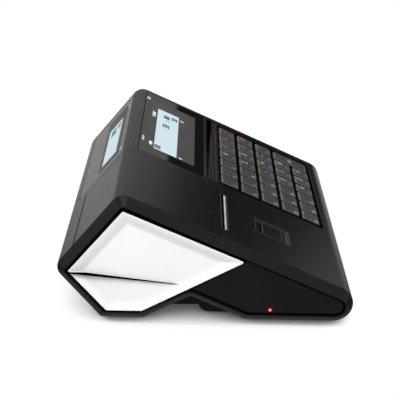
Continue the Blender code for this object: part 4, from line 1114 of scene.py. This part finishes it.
@dataclass
class Keypad:
    """The 34 keys with their printed legends, and the plate, mat and board under them."""

    shaper: Shaper
    lettering: Lettering
    pitch_x: float = 0.01731
    pitch_s: float = 0.01685
    gap_x: float = 0.0021
    gap_s: float = 0.00265
    left_x: float = -0.01835
    top_s: float = 0.0735
    rows: int = 5
    columns: int = 7
    height: float = 0.0046
    corner: float = 0.0009
    shoulder: Sequence[tuple[float, float, float]] = (
        (0.00012, 0.00013, -0.00170),
        (0.00022, 0.00025, -0.00060),
        (0.00026, 0.00048, -0.00032),
        (0.00036, 0.00085, -0.00010),
        (0.00052, 0.00125, 0.0),
    )
    highlight_tilt: float = 0.985
    crease: float = 30.0
    dish: float = 0.00009
    dish_shares: Sequence[Range] = ((0.0006, 0.35), (0.0014, 0.8), (0.0022, 1.0))
    stem_half: float = 0.0025
    stem_length: float = 0.0034
    stem_round: float = 0.0002
    ink_sink: float = 0.00011
    number_columns: int = 3
    low_number: tuple[float, float, float] = (-0.0042, 0.0030, 0.0027)
    total_height: float = 0.0062
    sign: tuple[float, float, float] = (0.0020, 0.0022, 0.0050)
    blue_number: tuple[float, float, float] = (-0.0012, -0.0045, 0.0031)
    rust_keys: int = 3
    legends: Sequence[str] = tuple("7 8 9 4 5 6 1 2 3 0 00 . + - % 5 1 8 2 6 3 4".split())

    def build(self) -> None:
        """Make each key, and dress what is under the keys."""
        last_row, last_column = self.rows - 2, self.columns - 1
        for row in range(self.rows):
            for column in range(self.columns):
                if row < last_row or column < last_column:
                    node = f"key_row{row + 1}_column{column + 1}"
                    self.key(node, row, column, self.pitch_s - self.gap_s)
        self.key("key_total", last_row, last_column, self.pitch_s * 2 - self.gap_s)
        self.shaper.assign("key_guide", "key_side_black")
        self.shaper.assign("key_mat", "mat_rubber")
        self.shaper.assign("main_board", "board_green")

    def place(self, row: int, column: int, length: float) -> Matrix:
        """Return the frame of a key, at the middle of its top.

        Args:
            row: Row from the ridge.
            column: Column from the operator's left.
            length: Length of the cap.

        Returns:
            The frame.
        """
        x = self.left_x + column * self.pitch_x + (self.pitch_x - self.gap_x) / 2
        s = self.top_s + row * self.pitch_s + length / 2
        return DECK.matrix() @ Matrix.Translation((x, -s, 0))

    def cap(self, length: float) -> Shape:
        """Return a key: a cap with a painted highlight on its shoulders and a dished top over dark
        sides, on its stem.

        Args:
            length: Length of the cap.

        Returns:
            The shape, with the middle of its top at the origin.
        """
        half_x = (self.pitch_x - self.gap_x) / 2
        rim_x, rim_y, _ = self.shoulder[-1]
        dish = [(rim_x + inset, rim_y + inset, -self.dish * share) for inset, share in self.dish_shares]
        bm = stack(half_x, length / 2, self.corner, -self.height, [*self.shoulder, *dish])
        half, foot = self.stem_half, -self.height - self.stem_length
        stem = block((-half, -half, foot), (half, half, -self.height), self.stem_round)
        whole = joined((bm, stem))
        whole.normal_update()
        # Tilted faces high on the shoulders take the paler finish: a painted highlight
        dark_side_edge, highlight_edge = self.shoulder[0][2], self.shoulder[1][2]
        # The lowest faces, and the X-facing faces just under the shoulders, take the black finish
        for face in whole.faces:
            height, normal = face.calc_center_median().z, face.normal
            if height < dark_side_edge or (height < highlight_edge and abs(normal.x) > abs(normal.y)):
                face.material_index = 1
            elif height > highlight_edge and normal.z < self.highlight_tilt:
                face.material_index = 2
        return whole

    def key(self, node: str, row: int, column: int, length: float) -> None:
        """Make one key and print its legends.

        Args:
            node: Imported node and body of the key.
            row: Row from the ridge.
            column: Column from the operator's left.
            length: Length of the cap.
        """
        place = self.place(row, column, length)
        bm = self.cap(length)
        cap = self.shaper.piece(f"{node}_cap", bm, "key_grey", Slot.KEY, place, node, self.crease)
        for finish in ("key_side_black", "key_edge_painted_highlight"):
            cap.data.materials.append(self.shaper.finishes[finish])
        self.shaper.even(cap)
        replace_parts(cap, node)
        for index, (text, x, y, height, finish) in enumerate(self.prints(row, column, length), 1):
            strokes = self.lettering.numerals(text, height, Vector((x, y, -self.ink_sink)))
            self.shaper.piece(f"{node}_legend_{index}", strokes, finish, Slot.KEY, place, node)

    def prints(self, row: int, column: int, length: float) -> list[Print]:
        """Return a key's legends.

        Args:
            row: Row from the ridge.
            column: Column from the operator's left.
            length: Length of the cap.

        Returns:
            The prints, in the frame of the key.
        """
        number = str(row * self.columns + column + 1)
        if column < self.number_columns:
            x, rise, height = self.low_number
            return [(number, x, rise - length / 2, height, "print_grey")]
        if length > self.pitch_s:
            return [("=", 0.0, 0.0, self.total_height, "print_grey")]
        place = row * (self.columns - self.number_columns) + column
        rusty = row + self.columns - column <= self.rust_keys
        ink = "print_rust" if rusty else "print_grey"
        return [
            (self.legends[place % len(self.legends)], *self.sign, ink),
            (number, *self.blue_number, "print_blue"),
        ]


@dataclass
class Printer:
    """The lid, paper slot, platen roller, gears, motor, head and bucket."""

    shaper: Shaper
    edge_round: float = 0.0002
    blade_depth: float = 0.0007
    slot_x: Range = (-0.0990, -0.0410)
    rear_lip_s: Range = (0.0717, 0.0723)
    front_lip_s: Range = (0.0760, 0.0772)
    lip_rise: float = 0.00012
    lip_root: float = 0.0004

    def build(self) -> None:
        """Dress the printer."""
        lid = Body.LID.value
        self.shaper.refined("printer_lid", "satin_black_housing", Slot.HOUSING, self.edge_round, lid)
        for node, finish in (
            ("platen_roller", "roller_rubber"),
            ("idler_gear", "gear_ivory"),
            ("motor_pinion", "bright_steel"),
            ("feed_motor", "motor_can"),
            ("print_head", "head_aluminium"),
            ("printer_frame", "inner_black_plastic"),
        ):
            self.shaper.assign(node, finish)
        self.tear_bar()
        self.lip("paper_slot_rear_lip", self.rear_lip_s, Body.LID)
        self.lip("paper_slot_front_lip", self.front_lip_s, Body.HOUSING)

    def tear_bar(self) -> None:
        """Stand in a tear bar: a steel blade over a black foot, the black a painted shade for the paper
        slot's depth.
        """
        bm = self.shaper.merged("tear_bar")
        edge = DECK.matrix() @ Vector((0, DECK.along(self.front_lip_s[0]), -self.blade_depth))
        up = DECK.matrix().to_3x3() @ Vector((0, 0, 1))
        cut(bm, edge, up)
        # Below the blade the bar takes the black finish: painted shade for the paper slot
        for face in bm.faces:
            face.material_index = int((face.calc_center_median() - edge).dot(up) < 0)
        thing = self.shaper.dressed("tear_bar_blade", bm, ("blade_steel", "key_side_black"), Slot.STEEL)
        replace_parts(thing, "tear_bar")

    def lip(self, name: str, span: Range, body: Body) -> None:
        """Make one of the fine rounded lips that run along the paper slot.

        Args:
            name: Name of the lip.
            span: Its range down the slope.
            body: Body that carries it.
        """
        ys = sorted(DECK.along(s) for s in span)
        low, high = (self.slot_x[0], ys[0], -self.lip_root), (self.slot_x[1], ys[1], self.lip_rise)
        bm = block(low, high, self.lip_rise)
        self.shaper.piece(name, bm, "rim_black", Slot.HOUSING, DECK.matrix(), body.value)


@dataclass
class Latch:
    """The latch button in its recess, and the soft rim around the recess."""

    shaper: Shaper
    edge_round: float = 0.0006
    recess_x: Range = (-0.0802, -0.0586)
    recess_s: Range = (0.0985, 0.1240)
    rim_width: float = 0.0007
    rim_corner: float = 0.0024
    rim_steps: Sequence[Range] = ((0.0003, 0.00010), (0.0004, 0.00010), (0.0014, -0.0015))
    rim_root: float = 0.00025
    wall_lean: Range = (-0.0003, 0.0009)

    def build(self) -> None:
        """Dress the button and frame its recess."""
        latch = Body.LATCH.value
        self.shaper.refined("latch_button", "satin_black_housing", Slot.HOUSING, self.edge_round, latch)
        self.rim()

    def rim(self) -> None:
        """Make the rim: a round-cornered ring that slopes down to the recess."""
        half_x, half_y = ((b - a) / 2 + self.rim_width for a, b in (self.recess_x, self.recess_s))
        bm = round_plate(half_x, half_y, self.rim_corner, steps=6)
        face = bm.faces[:][0]
        for inset, height in self.rim_steps:
            bmesh.ops.inset_region(
                bm, faces=[face], thickness=inset, use_even_offset=True, use_boundary=True
            )
            bmesh.ops.translate(bm, vec=(0, 0, height - face.verts[0].co.z), verts=face.verts[:])
        bmesh.ops.translate(bm, vec=(*self.wall_lean, 0), verts=face.verts[:])
        bmesh.ops.delete(bm, geom=[face], context="FACES_ONLY")
        drawn_out(bm, (0, 0, -self.rim_root))
        bmesh.ops.bridge_loops(bm, edges=open_rim(bm))
        middle = (sum(self.recess_x) / 2, DECK.along(sum(self.recess_s) / 2), 0)
        place = DECK.matrix() @ Matrix.Translation(middle)
        self.shaper.piece("latch_recess_rim", bm, "rim_black", Slot.HOUSING, place)


@dataclass
class Underside:
    """Battery door, foot strips and case screws."""

    shaper: Shaper
    door_round: float = 0.0003
    foot_round: float = 0.0004
    screw_x: float = 0.078
    front_y: float = -0.064
    rear_y: float = 0.053
    seat_z: float = 0.0052
    head_radius: float = 0.0026
    head_height: float = 0.0016
    crown_share: float = 0.4
    land_share: float = 0.22
    drive_share: float = 0.14
    drive_depth: float = 0.5
    level_tilt: float = 0.99

    def build(self) -> None:
        """Dress the underside and drive the four case screws."""
        self.shaper.refined("battery_door", "satin_black_housing", Slot.HOUSING, self.door_round)
        for node in ("front_foot_strip", "rear_foot_strip"):
            self.shaper.refined(node, "foot_rubber", Slot.RUBBER, self.foot_round)
        places = ((-1, self.front_y), (1, self.rear_y), (1, self.front_y), (-1, self.rear_y))
        for index, (side, y) in enumerate(places, 1):
            seat = Matrix.Translation((side * self.screw_x, y, self.seat_z))
            turn = Matrix.Rotation(math.pi, 4, "X") @ Matrix.Rotation(index, 4, "Z")
            self.shaper.piece(f"case_screw_{index}", self.screw(), "screw_zinc", Slot.STEEL, seat @ turn)

    def screw(self) -> Shape:
        """Return a pan-head screw with a sunk drive, its seat on z = 0.

        Returns:
            The closed shape.
        """
        bm = bmesh.new()
        radius, height = self.head_radius, self.head_height
        sizes = {"radius1": radius, "radius2": radius, "depth": height}
        bmesh.ops.create_cone(bm, cap_ends=True, segments=32, **sizes)
        bmesh.ops.translate(bm, vec=(0, 0, height / 2), verts=bm.verts)
        top = max(bm.faces, key=lambda f: f.normal.z)
        rounded(bm, top.edges[:], height * self.crown_share, steps=3)
        crown = max(bm.faces, key=lambda f: f.calc_center_median().z)
        bmesh.ops.inset_region(bm, faces=[crown], thickness=radius * self.land_share)
        level = [f for f in bm.faces if f.normal.z > self.level_tilt]
        crown = max(level, key=lambda f: (f.calc_center_median().z, -f.calc_perimeter()))
        width, depth = radius * self.drive_share, -height * self.drive_depth
        bmesh.ops.inset_region(bm, faces=[crown], thickness=width, depth=depth)
        return bm


@dataclass
class Studio:
    """Floor, world, lamps and camera."""

    floor_half: float = 4.0
    shadow_samples: int = 24
    shadow_reach: float = 0.020
    shadow: Sequence[Range] = ((0.0, 0.30), (0.12, 0.52), (0.42, 1.0))
    arch_reach: float = 0.05
    arch_open: Range = (0.08, 0.57)
    arch_level: float = 0.14
    mirror_x: Range = (-0.15, 0.25)
    mirror_levels: Range = (0.10, 0.50)
    fade_x: Range = (0.75, 1.3)
    fade_level: float = 0.06
    floor_level: float = 0.50
    even_level: float = 0.38
    eye: tuple[float, float, float] = (-0.69694, 0.00948, 0.34363)
    right: tuple[float, float, float] = (0.00194146, -0.99978756, 0.02052004)
    up: tuple[float, float, float] = (0.4008332, 0.01957752, 0.91594185)
    back: tuple[float, float, float] = (-0.91614899, 0.00644685, 0.40078606)
    lens: float = 90.56
    sensor: float = 36.0
    sight: Range = (0.01, 50.0)
    sky: Sequence[Range] = (
        (-0.2, 0.50),
        (0.05, 0.38),
        (0.20, 0.30),
        (0.28, 0.47),
        (0.60, 0.34),
        (0.80, 0.30),
        (0.92, 0.95),
    )
    flag_level: float = 0.006
    flag_lean: float = 1.28
    flag_edge: Range = (-0.066, -0.060)
    flag_end: Range = (-0.445, -0.385)
    flag_foot: Range = (-0.4, -0.3)
    flag_head: Range = (0.55, 0.75)
    flag_side: Range = (0.30, 0.55)

    def build(self) -> None:
        """Set up the studio."""
        self.camera()
        self.world()
        self.floor()
        self.lamp("side_softbox", (-1.05, 0.25, 1.25), 0.04, (0.9, 0.8), 27.5)
        self.lamp("fill_softbox", (1.2, -0.3, 1.05), 0.04, (0.9, 0.8), 14.0)
        self.lamp("top_softbox", (0.1, 0.1, 1.5), 0.05, (1.2, 1.2), 3.0)
        bpy.context.scene.view_settings.view_transform = "Standard"

    def camera(self) -> None:
        """Place the camera at the picture's viewpoint."""
        data = bpy.data.cameras.new("studio_camera")
        data.lens = self.lens
        data.sensor_width = self.sensor
        data.clip_start, data.clip_end = self.sight
        camera = bpy.data.objects.new("studio_camera", data)
        bpy.context.scene.collection.objects.link(camera)
        axes = Matrix((self.right, self.up, self.back)).transposed().to_4x4()
        camera.matrix_world = Matrix.Translation(self.eye) @ axes
        bpy.context.scene.camera = camera

    def world(self) -> None:
        """Show white to the camera, a banded studio to gloss and even light to the rest."""
        world = bpy.data.worlds.new("studio_world")
        world.use_nodes = True
        bpy.context.scene.world = world
        bench = NodeBench(world.node_tree)
        bench.tree.nodes.clear()
        direction = bench.add("ShaderNodeTexCoord").outputs["Generated"]
        split = bench.add("ShaderNodeSeparateXYZ", {0: direction})
        low = self.sky[0][0]
        stops = [((z - low) / (1.0 - low), grey(level)) for z, level in self.sky]
        sky = bench.ramp(bench.graded(split.outputs["Z"], low, 1.0), stops)
        seen, gloss, rest = (
            bench.add("ShaderNodeBackground", {"Color": colour, "Strength": 1.0}).outputs[0]
            for colour in ((1, 1, 1, 1), self.flagged(bench, split, sky), (*grey(self.even_level), 1))
        )
        bench.show("ShaderNodeOutputWorld", seen, gloss, rest, glass=True)

    def flagged(self, bench: NodeBench, split: bpy.types.Node, sky: Socket) -> Socket:
        """Hang a black flag in the reflected sky, with a crisp leaning edge.

        Args:
            bench: The world's nodes.
            split: Node that gives the direction's X, Y and Z.
            sky: Colour of the sky without the flag.

        Returns:
            Colour of the sky with the flag.
        """
        x, y, z = (split.outputs[axis] for axis in "XYZ")
        cover: Socket | float = 1.0
        for source, span, start in (
            (bench.result("MULTIPLY_ADD", y, self.flag_lean, z), self.flag_edge, 1.0),
            (y, self.flag_end, 0.0),
            (z, self.flag_foot, 0.0),
            (z, self.flag_head, 1.0),
            (x, self.flag_side, 0.0),
        ):
            step = bench.graded(source, *span, start, 1.0 - start, interpolation_type="SMOOTHSTEP")
            cover = bench.result("MULTIPLY", cover, step)
        return bench.mixed(sky, (*grey(self.flag_level), 1), Blend.COVER, cover)

    def floor(self) -> None:
        """Lay the white floor, which keeps the register's soft contact shadow."""
        bm = bmesh.new()
        bmesh.ops.create_grid(bm, x_segments=1, y_segments=1, size=self.floor_half)
        mesh = bpy.data.meshes.new("studio_floor")
        bm.to_mesh(mesh)
        bm.free()
        floor = bpy.data.objects.new("studio_floor", mesh)
        bpy.context.scene.collection.objects.link(floor)
        mesh.materials.append(self.floor_finish())

    def floor_finish(self) -> Material:
        """Make a floor that the camera sees white, apart from the shadow near the register.

        Returns:
            The floor's material.
        """
        material = bpy.data.materials.new("floor_white")
        material.use_nodes = True
        bench = NodeBench(material.node_tree)
        bench.tree.nodes.clear()
        near, deep = (
            bench.add("ShaderNodeAmbientOcclusion", {"Distance": reach}, samples=self.shadow_samples)
            for reach in (self.shadow_reach, self.arch_reach)
        )
        shade = bench.ramp(near.outputs["AO"], [(share, grey(level)) for share, level in self.shadow])
        cave = bench.graded(deep.outputs["AO"], *self.arch_open, self.arch_level)
        seen = bench.add("ShaderNodeEmission", {"Color": bench.mixed(shade, cave, Blend.SHADE)})
        place = bench.add("ShaderNodeNewGeometry").outputs["Position"]
        across = bench.add("ShaderNodeSeparateXYZ", {0: place}).outputs["X"]
        mirrored = {
            "Color": bench.graded(across, *self.mirror_x, *self.mirror_levels),
            "Strength": bench.graded(across, *self.fade_x, 1.0, self.fade_level),
        }
        gloss = bench.add("ShaderNodeEmission", mirrored)
        rest = bench.add("ShaderNodeBsdfDiffuse", {"Color": (*grey(self.floor_level), 1)})
        shaders = (node.outputs[0] for node in (seen, gloss, rest))
        bench.show("ShaderNodeOutputMaterial", *shaders, glass=False)
        return material

    def lamp(self, name: str, place: Sequence[float], aim_z: float, size: Range, power: float) -> None:
        """Hang a soft area lamp that points at the register.

        Args:
            name: Name of the lamp.
            place: Where it hangs.
            aim_z: Height of the point that it aims at, over the origin.
            size: Its width and height.
            power: Its power in watts.
        """
        data = bpy.data.lights.new(name, "AREA")
        data.shape = "RECTANGLE"
        data.size, data.size_y = size
        data.energy = power
        lamp = bpy.data.objects.new(name, data)
        bpy.context.scene.collection.objects.link(lamp)
        aim = Vector((0.0, 0.0, aim_z)) - Vector(place)
        lamp.matrix_world = Matrix.Translation(place) @ aim.to_track_quat("-Z", "Y").to_matrix().to_4x4()
        lamp.visible_camera = False
        lamp.visible_glossy = False


def main() -> None:
    """Build the register's pieces in order, then the studio."""
    shaper = Shaper(Finishes())
    lettering = Lettering()
    operator = Display(
        shaper,
        lettering,
        "operator",
        DECK,
        lens_x=(-0.0257, 0.1085),
        lens_s=(0.0072, 0.0590),
        window_x=(-0.0123, 0.0952),
        window_s=(0.0126, 0.0512),
        lit_x=(-0.0118, 0.0777),
        lit_s=(0.0185, 0.0368),
        figures=(
            ("80", 0.0650, 0.0268, 0.0052, "segment_slate"),
            (":", 0.0570, 0.0270, 0.0050, "segment_slate"),
            ("35", 0.0445, 0.0268, 0.0052, "segment_slate"),
            ("20", 0.0670, 0.0334, 0.0048, "segment_slate"),
            ("00", -0.0062, 0.0216, 0.0050, "segment_slate"),
            ("1234567", 0.0610, 0.0158, 0.0024, "print_pale"),
            ("0000", -0.0040, 0.0160, 0.0024, "print_pale"),
            ("11", 0.0710, 0.0398, 0.0030, "print_pale"),
            ("0", -0.0100, 0.0402, 0.0026, "print_pale"),
            ("I O", 0.0945, 0.0096, 0.0030, "print_pale"),
            ("= = =", 0.0005, 0.0099, 0.0026, "print_pale"),
        ),
    )
    customer = Display(
        shaper,
        lettering,
        "customer",
        REAR,
        lens_x=(-0.0240, 0.1085),
        lens_s=(0.0072, 0.0580),
        window_x=(-0.0123, 0.0952),
        window_s=(0.0130, 0.0375),
        lit_x=(-0.0063, 0.0698),
        lit_s=(0.0170, 0.0333),
        figures=(
            ("0.00", 0.0560, 0.0272, 0.0060, "segment_slate"),
            ("12:00", 0.0600, 0.0205, 0.0034, "segment_slate"),
            ("= =", 0.0865, 0.0112, 0.0024, "print_pale"),
            ("O", -0.0110, 0.0110, 0.0030, "print_pale"),
        ),
    )
    keypad = Keypad(shaper, Lettering(thickness=0.0001))
    printer, latch, underside = Printer(shaper), Latch(shaper), Underside(shaper)
    for part in (Casing(shaper), operator, customer, keypad, printer, latch, underside, Studio()):
        part.build()


if __name__ == "__main__":
    logging.basicConfig(level=logging.INFO, format="%(message)s")
    main()
